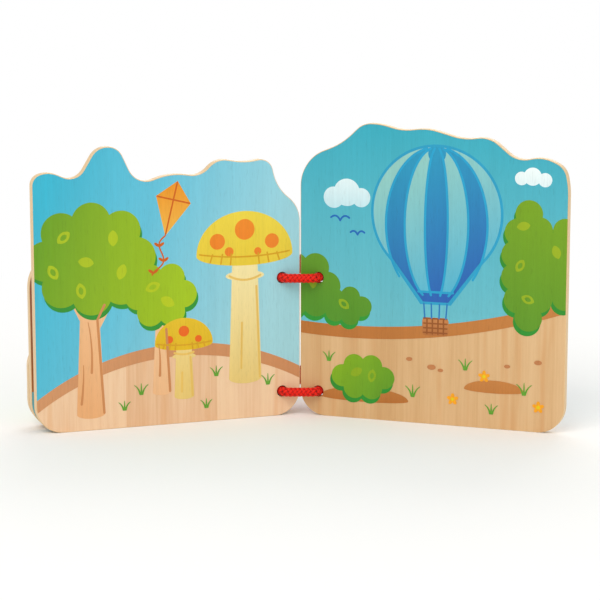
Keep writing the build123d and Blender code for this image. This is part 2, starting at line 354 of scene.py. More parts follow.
@dataclass(frozen=True)
class Grain:
    """Close, straight alder grain in edge-glued strips, in a board's own frame.

    The fibre and the pores are drawn coarser than alder's 0.1 mm, because finer ones don't show here.

    Attributes:
        place: The board.
        seams: Where the glued strips meet, in millimetres from the spine edge.
        start: A shift that gives each board grain of its own.
        fibre: A fibre's width and length, in millimetres.
        pore: A pore's width and length.
        band: The width and length of a broad, soft change of tone.
        streak: The width and length of a darker, warmer streak.
        ring_step: The distance between year rings.
        ring_wander: How far the rings wander with the broad changes of tone.
        strip_shift: How far each strip's grain is from the last one's, sideways and upwards.
        streak_levels: The levels of the noise between which a streak comes up.
        ring_levels: The same for a ring.
        pore_levels: The same for a pore.
        rough_spread: How far the fibres take the roughness below and above its middle.
    """

    place: BoardPlace
    seams: tuple[float, ...]
    start: float
    fibre: tuple[float, float] = (0.75, 30.0)
    pore: tuple[float, float] = (0.42, 5.0)
    band: tuple[float, float] = (13.0, 190.0)
    streak: tuple[float, float] = (5.0, 75.0)
    ring_step: float = 4.6
    ring_wander: float = 22.0
    strip_shift: tuple[float, float] = (61.0, 173.0)
    streak_levels: tuple[float, float] = (0.54, 0.74)
    ring_levels: tuple[float, float] = (0.3, 1.0)
    pore_levels: tuple[float, float] = (0.60, 0.74)
    rough_spread: tuple[float, float] = (0.05, 0.07)

    def lay(self, tree: Tree) -> dict[str, Socket]:
        """Adds the grain's nodes.

        Args:
            tree: The material's node tree.

        Returns:
            Sockets by name: the place in millimetres and its x, y and z, and from 0 to 1 the strip's
            tone, the fibre, the broad bands, the warm streaks, the rings and the pores.
        """
        here = add(tree, "Mapping", {
            "Vector": add(tree, "TexCoord", out="Object"), "Rotation": (0, 0, -self.place.turn),
            "Location": self.place.matrix.inverted().translation, "Scale": (1 / MM,) * 3,
        })
        across = add(tree, "SeparateXYZ", {0: here}, out="X")
        depth, height = across.node.outputs["Y"], across.node.outputs["Z"]
        strip: Any = self.start
        for seam in self.seams:
            past = add(tree, "Math", {0: across, 1: seam}, operation="GREATER_THAN")
            strip = add(tree, "Math", {0: past, 1: strip}, operation="ADD")
        tone = add(tree, "TexWhiteNoise", {"W": strip}, noise_dimensions="1D")
        sideways = add(tree, "Math", {0: strip, 1: self.strip_shift[0]}, operation="MULTIPLY")
        upwards = add(tree, "Math", {0: strip, 1: self.strip_shift[1]}, operation="MULTIPLY")
        shift = add(tree, "CombineXYZ", {"X": sideways, "Z": upwards})
        moved = add(tree, "VectorMath", {0: here, 1: shift}, operation="ADD")

        def streaks(size: tuple[float, float], detail: float) -> Socket:
            """Adds noise that is stretched along the grain.

            Args:
                size: A streak's width and length.
                detail: How much finer noise it carries.

            Returns:
                The noise's socket.
            """
            wide, tall = size
            share = (1 / wide, 1 / wide, 1 / tall)
            scaled = add(tree, "VectorMath", {0: moved, 1: share}, operation="MULTIPLY")
            return add(tree, "TexNoise", {
                "Vector": scaled, "Scale": 1.0, "Detail": detail, "Roughness": 0.55, "Distortion": 0.2,
            }, out="Fac")

        band = streaks(self.band, 2.0)
        low, high = self.streak_levels
        warm = add(tree, "MapRange", {0: streaks(self.streak, 1.0), 1: low, 2: high},
                   interpolation_type="SMOOTHSTEP")
        wander = add(tree, "Math", {0: band, 1: self.ring_wander, 2: across}, operation="MULTIPLY_ADD")
        turns = add(tree, "Math", {0: wander, 1: 2 * math.pi / self.ring_step}, operation="MULTIPLY")
        wave = add(tree, "Math", {0: turns}, operation="SINE")
        low, high = self.ring_levels
        ring = add(tree, "MapRange", {0: wave, 1: low, 2: high})
        low, high = self.pore_levels
        pore = add(tree, "MapRange", {0: streaks(self.pore, 1.0), 1: low, 2: high})
        return {"at": here, "x": across, "y": depth, "z": height, "tone": tone, "warm": warm,
                "fibre": streaks(self.fibre, 3.0), "band": band, "ring": ring, "pore": pore}

    def surface(self, tree: Tree, shader: bpy.types.Node, look: dict[str, Socket],
                roughness: float, depth: float) -> None:
        """Gives a shader the sanded wood's roughness and the lie of its fibres.

        Args:
            tree: The material's node tree.
            shader: The shader that gets them.
            look: The grain's sockets.
            roughness: The middle of the roughness.
            depth: How deep the fibres and pores are, in millimetres.
        """
        below, above = self.rough_spread
        rough = add(tree, "MapRange", {
            0: look["fibre"], 1: 0.3, 2: 0.7, 3: roughness - below, 4: roughness + above,
        })
        tree.links.new(rough, shader.inputs["Roughness"])
        rise = add(tree, "Math", {0: look["fibre"], 1: look["pore"]}, operation="SUBTRACT")
        bump = add(tree, "Bump", {"Height": rise, "Strength": 0.35, "Distance": depth * MM})
        tree.links.new(bump, shader.inputs["Normal"])


@dataclass(frozen=True)
class SandedAlder:
    """Solid alder, sanded and sealed with a clear satin lacquer: warm, close-grained, softly shiny.

    Attributes:
        grain: The board's grain.
        pale: The lightest wood.
        mid: The common wood.
        dark: The darkest wood, in rings and pores.
        warm: The orange-brown of the streaks.
        edge: The even tan of the sanded edges.
        knot: Where a pin knot is, if there is one.
        knot_brown: The pin knot's colour.
        knot_reach: How far its core and its fade go from its middle.
        ior: The lacquer's index.
        roughness: The middle of its roughness.
        fibre_depth: How deep the fibres and pores are.
        tone_mix: How much the broad bands, the fibre and the strip's own tone lighten the wood.
        tone_drop: What their sum is lowered by.
        ring_dark: How much a ring darkens it.
        shade_places: Where the dark, common and pale wood lie in that sum.
        warm_share: How much of a streak's colour shows.
        pore_share: How much of a pore's colour shows.
        edge_depths: The depths in the board between which the edge's colour comes up.
        edge_share: How much of it shows.
    """

    grain: Grain
    pale: str
    mid: str
    dark: str
    warm: str
    edge: str = "DDBC88"
    knot: Spot | None = None
    knot_brown: str = "A8743E"
    knot_reach: tuple[float, float] = (0.3, 1.7)
    ior: float = 1.5
    roughness: float = 0.42
    fibre_depth: float = 0.04
    tone_mix: tuple[float, float, float] = (0.85, 0.42, 0.30)
    tone_drop: float = 0.27
    ring_dark: float = 0.07
    shade_places: tuple[float, float, float] = (0.12, 0.5, 0.88)
    warm_share: float = 0.42
    pore_share: float = 0.20
    edge_depths: tuple[float, float] = (2.45, 2.495)
    edge_share: float = 0.88

    def colour(self, tree: Tree, look: dict[str, Socket]) -> Socket:
        """Mixes the bare wood's colour.

        Args:
            tree: The material's node tree.
            look: The grain's sockets.

        Returns:
            The colour's socket.
        """
        parts = add(tree, "CombineXYZ", {"X": look["band"], "Y": look["fibre"], "Z": look["tone"]})
        tone = add(tree, "VectorMath", {0: parts, 1: self.tone_mix}, out="Value", operation="DOT_PRODUCT")
        rings = add(tree, "Math", {0: look["ring"], 1: -self.ring_dark, 2: tone}, operation="MULTIPLY_ADD")
        part = add(tree, "Math", {0: rings, 1: self.tone_drop}, operation="SUBTRACT")
        shades = list(zip(self.shade_places, (self.dark, self.mid, self.pale)))
        wood = add(tree, "ValToRGB", {"Fac": part}, stops=shades)
        warm = add(tree, "Math", {0: look["warm"], 1: self.warm_share}, operation="MULTIPLY")
        wood = add(tree, "Mix", {0: warm, 6: wood, 7: linear(self.warm)}, out=2, data_type="RGBA")
        pore = add(tree, "Math", {0: look["pore"], 1: self.pore_share}, operation="MULTIPLY")
        return add(tree, "Mix", {0: pore, 6: wood, 7: linear(self.dark)}, out=2, data_type="RGBA")

    def material(self) -> bpy.types.Material:
        """Builds the material.

        Returns:
            The material, named for its board.
        """
        material, tree, shader = new_material(f"sanded_alder_{self.grain.place.body}")
        look = self.grain.lay(tree)
        wood = self.colour(tree, look)
        if self.knot:
            centre = (self.knot[0], 0.0, self.knot[1])
            gap = add(tree, "VectorMath", {0: look["at"], 1: centre}, operation="SUBTRACT")
            flat = add(tree, "VectorMath", {0: gap, 1: (1.0, 0.0, 0.55)}, operation="MULTIPLY")
            far = add(tree, "VectorMath", {0: flat}, out="Value", operation="LENGTH")
            core, fade = self.knot_reach
            near = add(tree, "MapRange", {0: far, 1: core, 2: fade, 3: 0.75, 4: 0.0},
                       interpolation_type="SMOOTHSTEP")
            wood = add(tree, "Mix", {0: near, 6: wood, 7: linear(self.knot_brown)}, out=2, data_type="RGBA")
        depth = add(tree, "Math", {0: look["y"]}, operation="ABSOLUTE")
        inner, outer = self.edge_depths
        rim = add(tree, "MapRange", {0: depth, 1: inner, 2: outer, 3: self.edge_share, 4: 0.0})
        wood = add(tree, "Mix", {0: rim, 6: wood, 7: linear(self.edge)}, out=2, data_type="RGBA")
        tree.links.new(wood, shader.inputs["Base Color"])
        shader.inputs["IOR"].default_value = self.ior
        self.grain.surface(tree, shader, look, self.roughness, self.fibre_depth)
        return material


@dataclass(frozen=True)
class PrintedInk:
    """Semi-transparent ink printed on alder and lacquered over: satin, with the grain showing through.

    Attributes:
        name: The field's name.
        wood: The board's own finish under the ink.
        shades: The ink's colours along the blend, from 0 to 1.
        start: Where the blend starts, as millimetres from the spine edge and up from the foot.
        end: Where it ends.
        cover: How much of the wood's colour the ink hides.
        roughness: The middle of the lacquer's roughness.
        shine: The lacquer's specular level, below a bare surface's because the ink is matt under it.
        fibre_depth: How deep the fibres and pores still are under the ink.
        grain_light: How much the fibre, the broad bands and the pores lighten the ink.
        ink_light: The ink's own level before that.
    """

    name: str
    wood: SandedAlder
    shades: Stops
    start: Spot
    end: Spot
    cover: float = 0.965
    roughness: float = 0.42
    shine: float = 0.2
    fibre_depth: float = 0.03
    grain_light: tuple[float, float, float] = (0.15, 0.16, -0.11)
    ink_light: float = 0.85

    def material(self) -> bpy.types.Material:
        """Builds the material.

        Returns:
            The material, named for its field.
        """
        material, tree, shader = new_material(f"printed_ink_{self.name}")
        look = self.wood.grain.lay(tree)
        run = Vector((self.end[0] - self.start[0], 0.0, self.end[1] - self.start[1]))
        step = run / run.length_squared
        along = add(tree, "VectorMath", {0: look["at"], 1: step}, out="Value", operation="DOT_PRODUCT")
        origin = step.dot(Vector((self.start[0], 0.0, self.start[1])))
        share = add(tree, "Math", {0: along, 1: origin}, operation="SUBTRACT")
        ink = add(tree, "ValToRGB", {"Fac": share}, stops=self.shades)
        parts = add(tree, "CombineXYZ", {"X": look["fibre"], "Y": look["band"], "Z": look["pore"]})
        light = add(tree, "VectorMath", {0: parts, 1: self.grain_light}, out="Value",
                    operation="DOT_PRODUCT")
        level = add(tree, "Math", {0: light, 1: self.ink_light}, operation="ADD")
        grey = add(tree, "CombineColor", {0: level, 1: level, 2: level})
        ink = add(tree, "Mix", {0: 1.0, 6: ink, 7: grey}, out=2, data_type="RGBA", blend_type="MULTIPLY")
        bare = self.wood.colour(tree, look)
        colour = add(tree, "Mix", {0: self.cover, 6: bare, 7: ink}, out=2, data_type="RGBA")
        tree.links.new(colour, shader.inputs["Base Color"])
        shader.inputs["IOR"].default_value = self.wood.ior
        shader.inputs["Specular IOR Level"].default_value = self.shine
        self.wood.grain.surface(tree, shader, look, self.roughness, self.fibre_depth)
        return material


@dataclass(frozen=True)
class LineInk:
    """Dense line ink, printed last: satin and nearly even, with only a little grain in it.

    Attributes:
        name: The line work's name.
        wood: The board's own finish under the ink.
        colour: The ink's colour.
        cover: How much of the wood's colour it hides.
    """

    name: str
    wood: SandedAlder
    colour: str
    cover: float = 0.98

    def material(self) -> bpy.types.Material:
        """Builds the material."""
        return PrintedInk(self.name, self.wood, [(0.0, self.colour), (1.0, self.colour)],
                          (0.0, 0.0), (BOARD_WIDTH, 0.0), cover=self.cover).material()


@dataclass(frozen=True)
class BraidedPolyester:
    """Polyester yarn, laid in a round braid: soft sheen and painted highlights on each strand, painted shade between
    them.

    Attributes:
        lit: The lit crown of a strand, a painted highlight that the fibres' noise scatters along each strand.
        body: The yarn's own red.
        deep: Painted shade, on the yarn where strands meet and in the hollows of a melted end's lumps.
        melted: The melted end's own red, which shows on the tops of its lumps.
        roughness: The yarn's roughness.
        sheen: The weight of its fuzz.
        shine: The yarn's specular level.
        sheen_roughness: The roughness of that fuzz.
        fibre_scale: How many fibres show across a strand. Real ones are too fine to show.
        fibre_levels: The levels of the fibres' noise between which the yarn goes from its own red to lit.
        fibre_depth: How deep the fibres are, in millimetres.
        flank_levels: Where on a strand's side the painted shade starts and is full, from its crown to its flank.
        flank_share: How dark the painted shade on the flank gets.
        sealed_roughness: The roughness of a melted end.
        lump_size: The size of its lumps, in millimetres.
        lump_levels: The levels of their noise between which they go from painted shade in the hollows to the melted
            red on top.
        lump_depth: How deep they are, in millimetres.
    """

    lit: str = "F0240C"
    body: str = "DA1004"
    deep: str = "8A0503"
    melted: str = "B8160D"
    roughness: float = 0.5
    sheen: float = 0.03
    shine: float = 0.2
    sheen_roughness: float = 0.4
    fibre_scale: float = 4.5
    fibre_levels: tuple[float, float] = (0.34, 0.66)
    fibre_depth: float = 0.12
    flank_levels: tuple[float, float] = (0.45, 1.0)
    flank_share: float = 0.85
    sealed_roughness: float = 0.32
    lump_size: float = 1.6
    lump_levels: tuple[float, float] = (0.3, 0.7)
    lump_depth: float = 0.15

    def material(self) -> bpy.types.Material:
        """Builds the yarn's material.

        Returns:
            The material.
        """
        material, tree, shader = new_material("braided_polyester_red")
        yarn = add(tree, "Attribute", out="Vector", attribute_name="yarn")
        fibres = add(tree, "TexNoise", {"Vector": yarn, "Scale": self.fibre_scale, "Detail": 3.0}, out="Fac")
        # Painted highlight: the fibres' noise mixes the yarn's red with the lighter lit red.
        reds = list(zip(self.fibre_levels, (self.body, self.lit)))
        colour = add(tree, "ValToRGB", {"Fac": fibres}, stops=reds)
        # Painted shade: the strands' flanks, where they meet their neighbours, are darkened towards the deep red.
        flank = add(tree, "Attribute", out="Fac", attribute_name="flank")
        start, full = self.flank_levels
        sunk = add(tree, "MapRange", {0: flank, 1: start, 2: full, 3: 0.0, 4: self.flank_share},
                   interpolation_type="SMOOTHSTEP")
        colour = add(tree, "Mix", {0: sunk, 6: colour, 7: linear(self.deep)}, out=2, data_type="RGBA")
        tree.links.new(colour, shader.inputs["Base Color"])
        shader.inputs["Roughness"].default_value = self.roughness
        shader.inputs["Specular IOR Level"].default_value = self.shine
        shader.inputs["Sheen Weight"].default_value = self.sheen
        shader.inputs["Sheen Roughness"].default_value = self.sheen_roughness
        bump = add(tree, "Bump", {"Height": fibres, "Strength": 0.6, "Distance": self.fibre_depth * MM})
        tree.links.new(bump, shader.inputs["Normal"])
        return material

    def sealed(self) -> bpy.types.Material:
        """Builds the material of a cord's end, melted so that it can't fray: darker, smooth and glossy.

        Returns:
            The material.
        """
        material, tree, shader = new_material("heat_sealed_polyester_red")
        place = add(tree, "TexCoord", out="Object")
        scale = 1 / (self.lump_size * MM)
        lumps = add(tree, "TexNoise", {"Vector": place, "Scale": scale, "Detail": 2.0}, out="Fac")
        # Painted shade: the lumps' hollows take the deep red and their tops the melted red, following the bumps' own
        # noise.
        reds = list(zip(self.lump_levels, (self.deep, self.melted)))
        colour = add(tree, "ValToRGB", {"Fac": lumps}, stops=reds)
        tree.links.new(colour, shader.inputs["Base Color"])
        shader.inputs["Roughness"].default_value = self.sealed_roughness
        bump = add(tree, "Bump", {"Height": lumps, "Strength": 0.5, "Distance": self.lump_depth * MM})
        tree.links.new(bump, shader.inputs["Normal"])
        return material


# Cords


# One cord's way through its reef knot, in the knot's own frame: x along the cord, y away from the book
# and z up. The other cord's way is the same one, turned half round about z.
KNOT_WAY = (
    (-7.9, 1.2, -2.9),
    (-5.0, 2.9, -2.1),
    (-2.5, 0.0, -2.2),
    (0.0, -2.9, -4.2),
    (2.6, 0.0, -6.9),
    (5.8, 2.9, -5.0),
    (6.4, 2.9, 0.0),
    (5.8, 2.9, 5.0),
    (2.6, 0.0, 6.9),
    (0.0, -2.9, 4.2),
    (-2.5, 0.0, 2.2),
    (-5.0, 2.9, 2.1),
)
LEFT_TAIL = ((-7.3, 3.5, 4.2), (-8.6, 4.4, 8.0), (-9.8, 5.6, 12.8))
RIGHT_TAIL = ((7.5, -1.4, 3.8), (8.9, 1.2, 7.4), (9.9, 4.2, 12.2))

# The shape of a melted end: how far along the cord each ring is, and its radius.
SEALED_TIP = ((-0.9, 2.2), (-0.5, 2.56), (0.35, 2.6), (0.9, 2.3), (1.25, 1.6), (1.42, 0.7))


@dataclass
class LacingCord:
    """One braided cord: through the four boards' holes, round the spine and tied in a reef knot.

    Attributes:
        name: The CAD node that it stands for.
        height: How high its holes are.
        places: The boards' places.
        yarn: The material of its strands.
        sealed: The material of its melted ends.
        hole_inset: How far its holes are from the spine edge.
        mouth_reach: How far its front run stands off the open page.
        front_lead: How far it keeps straight from each mouth, so that the front run stays taut.
        rear_reach: How far it stands off the boards behind.
        spine_slack: How far it passes the spine edge before it turns to the knot.
        knot_lift: How far the knot's middle is above the run.
        knot_out: How far the knot's middle is behind the run, so that the boards clear it as they turn.
        knot_aside: How far it is from the run's middle, towards the right board.
        pinch: How thin the knot pulls the cord, as a share of its thickness.
        pinch_reach: The distances from the knot's middle between which it gets its thickness back.
        strand_pairs: How many strands run each way round.
        lay: The length of one turn of a strand.
        middle_radius: How far a strand's middle is from the cord's.
        weave_depth: How far a strand rises and falls over the others.
        strand_half_width: Half a strand's width.
        strand_half_thick: Half its thickness.
        core_radius: The radius of the filling yarn inside.
        strand_twist: The turns of the yarn in a strand, in radians a millimetre.
        core_twist: The same in the filling yarn.
        yarn_length: The length of cord over which the yarn's pattern runs once.
        end_sides: The sides of a melted end.
        sides: The sides of a strand's section.
        step: The distance between sections.
    """

    name: str
    height: float
    places: dict[str, BoardPlace]
    yarn: bpy.types.Material
    sealed: bpy.types.Material

    hole_inset: float = 10.0
    mouth_reach: float = 3.3
    front_lead: float = 6.0
    rear_reach: float = 4.8
    spine_slack: float = 4.0
    knot_lift: float = 3.6
    knot_out: float = 6.5
    knot_aside: float = -2.5
    pinch: float = 0.8
    pinch_reach: tuple[float, float] = (7.6, 11.4)
    strand_pairs: int = 4
    lay: float = 9.2
    middle_radius: float = 1.72
    weave_depth: float = 0.29
    strand_half_width: float = 0.94
    strand_half_thick: float = 0.48
    core_radius: float = 1.4
    strand_twist: float = 0.9
    core_twist: float = 0.4
    yarn_length: float = 5.0
    end_sides: int = 20
    sides: int = 10
    step: float = 0.38

    def corner(self, body: str, across: float, through: float) -> Vector:
        """Returns one place of the route, at the cord's height."""
        return self.places[body].point(across, through, self.height)

    def route(self) -> tuple[list[Vector], dict[str, Vector]]:
        """Lays out the cord from the end of one tail to the end of the other.

        Returns:
            The control points of its line, and the places where it passes from piece to piece.
        """
        inset = self.hole_inset
        left_mouth = self.corner("left_leaf", inset, HALF_THICK + self.mouth_reach)
        right_mouth = self.corner("back_cover", inset, -HALF_THICK - self.mouth_reach)
        left_hole = self.corner("left_leaf", inset, 0.0)
        middle_hole = self.corner("middle_leaf", inset, 0.0)
        cover_hole = self.corner("front_cover", inset, 0.0)
        cover_turn = self.corner("front_cover", inset, -HALF_THICK - self.rear_reach)
        spine_turn = self.corner("front_cover", -self.spine_slack, -HALF_THICK - self.rear_reach)
        back_turn = self.corner("back_cover", inset, HALF_THICK + self.rear_reach)
        heading = (back_turn - spine_turn).normalized()
        up = Vector((0.0, 0.0, 1.0))
        away = up.cross(heading)
        middle = (spine_turn + back_turn) / 2 + heading * self.knot_aside
        middle += up * self.knot_lift + away * self.knot_out

        def tied(way: Iterable[tuple[float, float, float]], turn: int = 1) -> list[Vector]:
            """Returns places of the knot's own frame, or of the same turned half round, as places here."""
            return [middle + heading * (turn * x) + away * (turn * y) + up * z for x, y, z in way]

        front = (left_mouth - right_mouth).normalized() * self.front_lead
        left_knot = tied(KNOT_WAY) + tied(LEFT_TAIL)
        right_knot = tied(KNOT_WAY, turn=-1) + tied(RIGHT_TAIL)
        points = [
            *reversed(right_knot), back_turn, self.corner("back_cover", inset, 0.0), right_mouth,
            right_mouth + front, left_mouth - front, left_mouth, left_hole, middle_hole, cover_hole,
            cover_turn, spine_turn, *left_knot,
        ]
        marks = {
            "knot": middle, "right_knot": right_knot[0], "back_turn": back_turn, "right_mouth": right_mouth,
            "left_mouth": left_mouth, "left_out": (left_hole + middle_hole) / 2,
            "middle_out": (middle_hole + cover_hole) / 2, "cover_turn": cover_turn,
            "left_knot": left_knot[0],
        }
        return points, marks

    def line_of(self, points: Sequence[Vector]) -> np.ndarray:
        """Reads a smooth line from control points.

        Args:
            points: The control points, in millimetres.

        Returns:
            Even points along the line, in millimetres.
        """
        curve = bpy.data.curves.new(f"{self.name}_line", "CURVE")
        curve.dimensions = "3D"
        curve.resolution_u = 24
        spline = curve.splines.new("NURBS")
        spline.points.add(len(points) - 1)
        for target, point in zip(spline.points, points):
            target.co = (*(point * MM), 1.0)
        spline.order_u = 3
        spline.use_endpoint_u = True
        carrier = bpy.data.objects.new(f"{self.name}_line", curve)
        bpy.context.scene.collection.objects.link(carrier)
        read = bpy.data.meshes.new_from_object(carrier)
        raw = np.array([vertex.co for vertex in read.vertices], float) / MM
        bpy.data.objects.remove(carrier)
        bpy.data.curves.remove(curve)
        bpy.data.meshes.remove(read)
        lengths = np.concatenate([[0.0], np.cumsum(np.linalg.norm(np.diff(raw, axis=0), axis=1))])
        even = np.linspace(0, lengths[-1], max(4, round(lengths[-1] / self.step) + 1))
        return np.stack([np.interp(even, lengths, raw[:, axis]) for axis in range(3)], axis=1)

    def frames(self, line: np.ndarray) -> tuple[np.ndarray, np.ndarray, np.ndarray]:
        """Follows a line without twist.

        Args:
            line: The cord's line.

        Returns:
            How far along each point of it is, and two directions square to the line there.
        """
        along = np.concatenate([[0.0], np.cumsum(np.linalg.norm(np.diff(line, axis=0), axis=1))])
        ahead = np.gradient(line, axis=0)
        ahead /= np.linalg.norm(ahead, axis=1)[:, None]
        up = np.zeros_like(line)
        guess = np.array([0.3, 1.0, 0.2])
        for index, direction in enumerate(ahead):
            guess = guess - direction * (guess @ direction)
            guess /= np.linalg.norm(guess)
            up[index] = guess
        return along, up, np.cross(ahead, up)

    def tube(self, centres: np.ndarray, wide: np.ndarray, thick: np.ndarray, along: np.ndarray,
             twist: float) -> tuple[np.ndarray, list[tuple[int, ...]], np.ndarray, np.ndarray]:
        """Makes one closed tube.

        Args:
            centres: The tube's centre line.
            wide: At each centre, the half axis of its section one way.
            thick: The half axis the other way.
            along: How far along the cord each centre is.
            twist: Turns of the yarn in its strand, in radians a millimetre.

        Returns:
            Its points, its faces, the yarn's own coordinates at each point, and how near each point
            is to the strand's flanks, from 0 to 1.
        """
        count = len(centres)
        angles = np.arange(self.sides) * 2 * math.pi / self.sides
        cosines, sines = np.cos(angles)[None, :, None], np.sin(angles)[None, :, None]
        ring = wide[:, None, :] * cosines + thick[:, None, :] * sines
        points = (centres[:, None, :] + ring).reshape(-1, 3)
        phase = angles[None, :] + twist * along[:, None]
        lengthwise = np.repeat(along[:, None] / self.yarn_length, self.sides, 1)
        yarn = np.stack([np.cos(phase), np.sin(phase), lengthwise], axis=2)
        flank = np.tile(np.abs(np.cos(angles)), count)
        faces = []
        for row in range(count - 1):
            for side in range(self.sides):
                nearby = (side + 1) % self.sides
                low, high = row * self.sides, (row + 1) * self.sides
                faces.append((low + side, low + nearby, high + nearby, high + side))
        faces.append(tuple(reversed(range(self.sides))))
        faces.append(tuple(range((count - 1) * self.sides, count * self.sides)))
        return points, faces, yarn.reshape(-1, 3), flank

    def braid(self, name: str, line: np.ndarray, girth: np.ndarray, first: int, last: int) -> Piece:
        """Braids one stretch of the cord round its line.

        Args:
            name: The stretch's name.
            line: The whole cord's line.
            girth: How thick the cord is at each point of it, as a share of its full thickness.
            first: The point of the line where the stretch starts.
            last: The point where it ends.

        Returns:
            The stretch as one mesh object, dressed and smooth.
        """
        along, up, side = self.frames(line)
        part = slice(first, last + 1)
        full = girth[:, None]
        tubes = []
        for direction in (1, -1):
            for number in range(self.strand_pairs):
                turn = direction * 2 * math.pi * along / self.lay + number * 2 * math.pi / self.strand_pairs
                outward = up * np.cos(turn)[:, None] + side * np.sin(turn)[:, None]
                wave = np.cos(self.strand_pairs * 2 * math.pi * along / self.lay)
                radius = (self.middle_radius + direction * self.weave_depth * wave) * girth
                centres = line + outward * radius[:, None]
                ahead = np.gradient(centres, axis=0)
                ahead /= np.linalg.norm(ahead, axis=1)[:, None]
                across = np.cross(ahead, outward)
                across /= np.linalg.norm(across, axis=1)[:, None]
                wide = across * self.strand_half_width * full
                thick = np.cross(across, ahead) * self.strand_half_thick * full
                tubes.append(self.tube(centres[part], wide[part], thick[part], along[part],
                                       self.strand_twist))
        core = self.core_radius * full
        tubes.append(self.tube(line[part], (up * core)[part], (side * core)[part], along[part],
                               self.core_twist))
        base = 0
        faces: list[tuple[int, ...]] = []
        for tube_points, tube_faces, _, _ in tubes:
            faces += [tuple(index + base for index in face) for face in tube_faces]
            base += len(tube_points)
        piece = mesh_object(name, np.concatenate([tube[0] for tube in tubes]), faces)
        yarn = np.concatenate([tube[2] for tube in tubes]).astype(np.float32)
        flanks = np.concatenate([tube[3] for tube in tubes]).astype(np.float32)
        piece.data.attributes.new("yarn", "FLOAT_VECTOR", "POINT").data.foreach_set("vector", yarn.ravel())
        # The flank share is what the yarn's material turns into painted shade between the strands.
        piece.data.attributes.new("flank", "FLOAT", "POINT").data.foreach_set("value", flanks)
        self.finish_piece(piece, self.yarn)
        return piece

    def finish_piece(self, piece: Piece, material: bpy.types.Material) -> None:
        """Dresses a piece of the cord and says what it stands for.

        Args:
            piece: The piece.
            material: Its material.
        """
        piece.data.polygons.foreach_set("use_smooth", [True] * len(piece.data.polygons))
        piece.data.materials.append(material)
        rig.slot(piece, "red_cord")
        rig.replaces(piece, self.name)

    def seal(self, name: str, end: np.ndarray, before: np.ndarray) -> Piece:
        """Closes a tail with a melted, slightly lumpy cap, as on a cord cut with a hot knife.

        Args:
            name: The cap's name.
            end: The line's last point.
            before: A point of the line just before it.

        Returns:
            The cap.
        """
        ahead = Vector(end - before).normalized()
        across = ahead.orthogonal().normalized()
        other = ahead.cross(across)
        around = self.end_sides
        points = []
        for reach, radius in SEALED_TIP:
            for number in range(around):
                turn = 2 * math.pi * number / around
                lump = 1 + 0.035 * math.sin(3 * turn + 1) + 0.025 * math.sin(5 * turn)
                out = across * math.cos(turn) + other * math.sin(turn)
                points.append(Vector(end) + ahead * reach + out * (radius * lump))
        faces = [tuple(reversed(range(around)))]
        for row in range(len(SEALED_TIP) - 1):
            for number in range(around):
                nearby = (number + 1) % around
                low, high = row * around, (row + 1) * around
                faces.append((low + number, low + nearby, high + nearby, high + number))
        faces.append(tuple(range(len(points) - around, len(points))))
        piece = mesh_object(name, np.array(points), faces)
        self.finish_piece(piece, self.sealed)
        return piece

    def build(self) -> None:
        """Braids every stretch and ties each to the boards that it moves with."""
        points, marks = self.route()
        line = self.line_of(points)
        away = np.linalg.norm(line - np.array(marks["knot"]), axis=1)
        girth = np.interp(away, self.pinch_reach, [self.pinch, 1.0])
        stops = {name: int(np.argmin(np.linalg.norm(line - np.array(place), axis=1)))
                 for name, place in marks.items()}
        stops.update(start=0, end=len(line) - 1)

        def stretch(label: str, first: str, final: str) -> Piece:
            """Returns the braid between two marks of the route."""
            return self.braid(f"{self.name}_{label}", line, girth, stops[first], stops[final])

        def bend(piece: Piece, first: str, final: str, bodies: tuple[str, str]) -> None:
            """Lets a piece bend between two boards.

            Args:
                piece: The piece.
                first: The mark where it starts to leave the first board.
                final: The mark from which it keeps to the second.
                bodies: The two boards.
            """
            start, end = (Vector(line[stops[mark]]) * MM for mark in (first, final))
            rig.blend(piece, *bodies, start, end)
            log.info("%s bends between %s and %s", piece.name, *bodies)

        # The knot gives way between the boards on its two sides, as a soft knot does.
        knot_run = ("left_knot", "right_knot", ("middle_leaf", "left_leaf"))
        bend(stretch("knot_right", "start", "right_knot"), *knot_run)
        bend(stretch("knot_left", "left_knot", "end"), *knot_run)
        bend(self.seal(f"{self.name}_right_end", line[0], line[3]), *knot_run)
        bend(self.seal(f"{self.name}_left_end", line[-1], line[-4]), *knot_run)
        bend(stretch("rear", "right_knot", "back_turn"), "right_knot", "back_turn",
             ("left_leaf", "back_cover"))
        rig.ride(stretch("in_back_cover", "back_turn", "right_mouth"), "back_cover")
        bend(stretch("front", "right_mouth", "left_mouth"), "right_mouth", "left_mouth",
             ("back_cover", "left_leaf"))
        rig.ride(stretch("in_left_leaf", "left_mouth", "left_out"), "left_leaf")
        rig.ride(stretch("in_middle_leaf", "left_out", "middle_out"), "middle_leaf")
        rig.ride(stretch("in_front_cover", "middle_out", "cover_turn"), "front_cover")
        bend(stretch("round_cover", "cover_turn", "left_knot"), "cover_turn", "left_knot",
             ("front_cover", "middle_leaf"))
        length = float(np.linalg.norm(np.diff(line, axis=0), axis=1).sum())
        log.info("%s: %.1f mm of cord with its knot and tails", self.name, length)


# Print


@dataclass
class Page:
    """The print of one side of a board: its CAD fields, each with its ink.

    Attributes:
        wood: The board's finish.
        fields: For each node, the shades of its ink and where their blend starts and ends.
    """

    wood: SandedAlder
    fields: dict[str, tuple[Stops, Spot, Spot]]

    def dress(self) -> None:
        """Gives each field its ink."""
        for node, (shades, start, end) in self.fields.items():
            dress(node, PrintedInk(node, self.wood, shades, start, end).material())


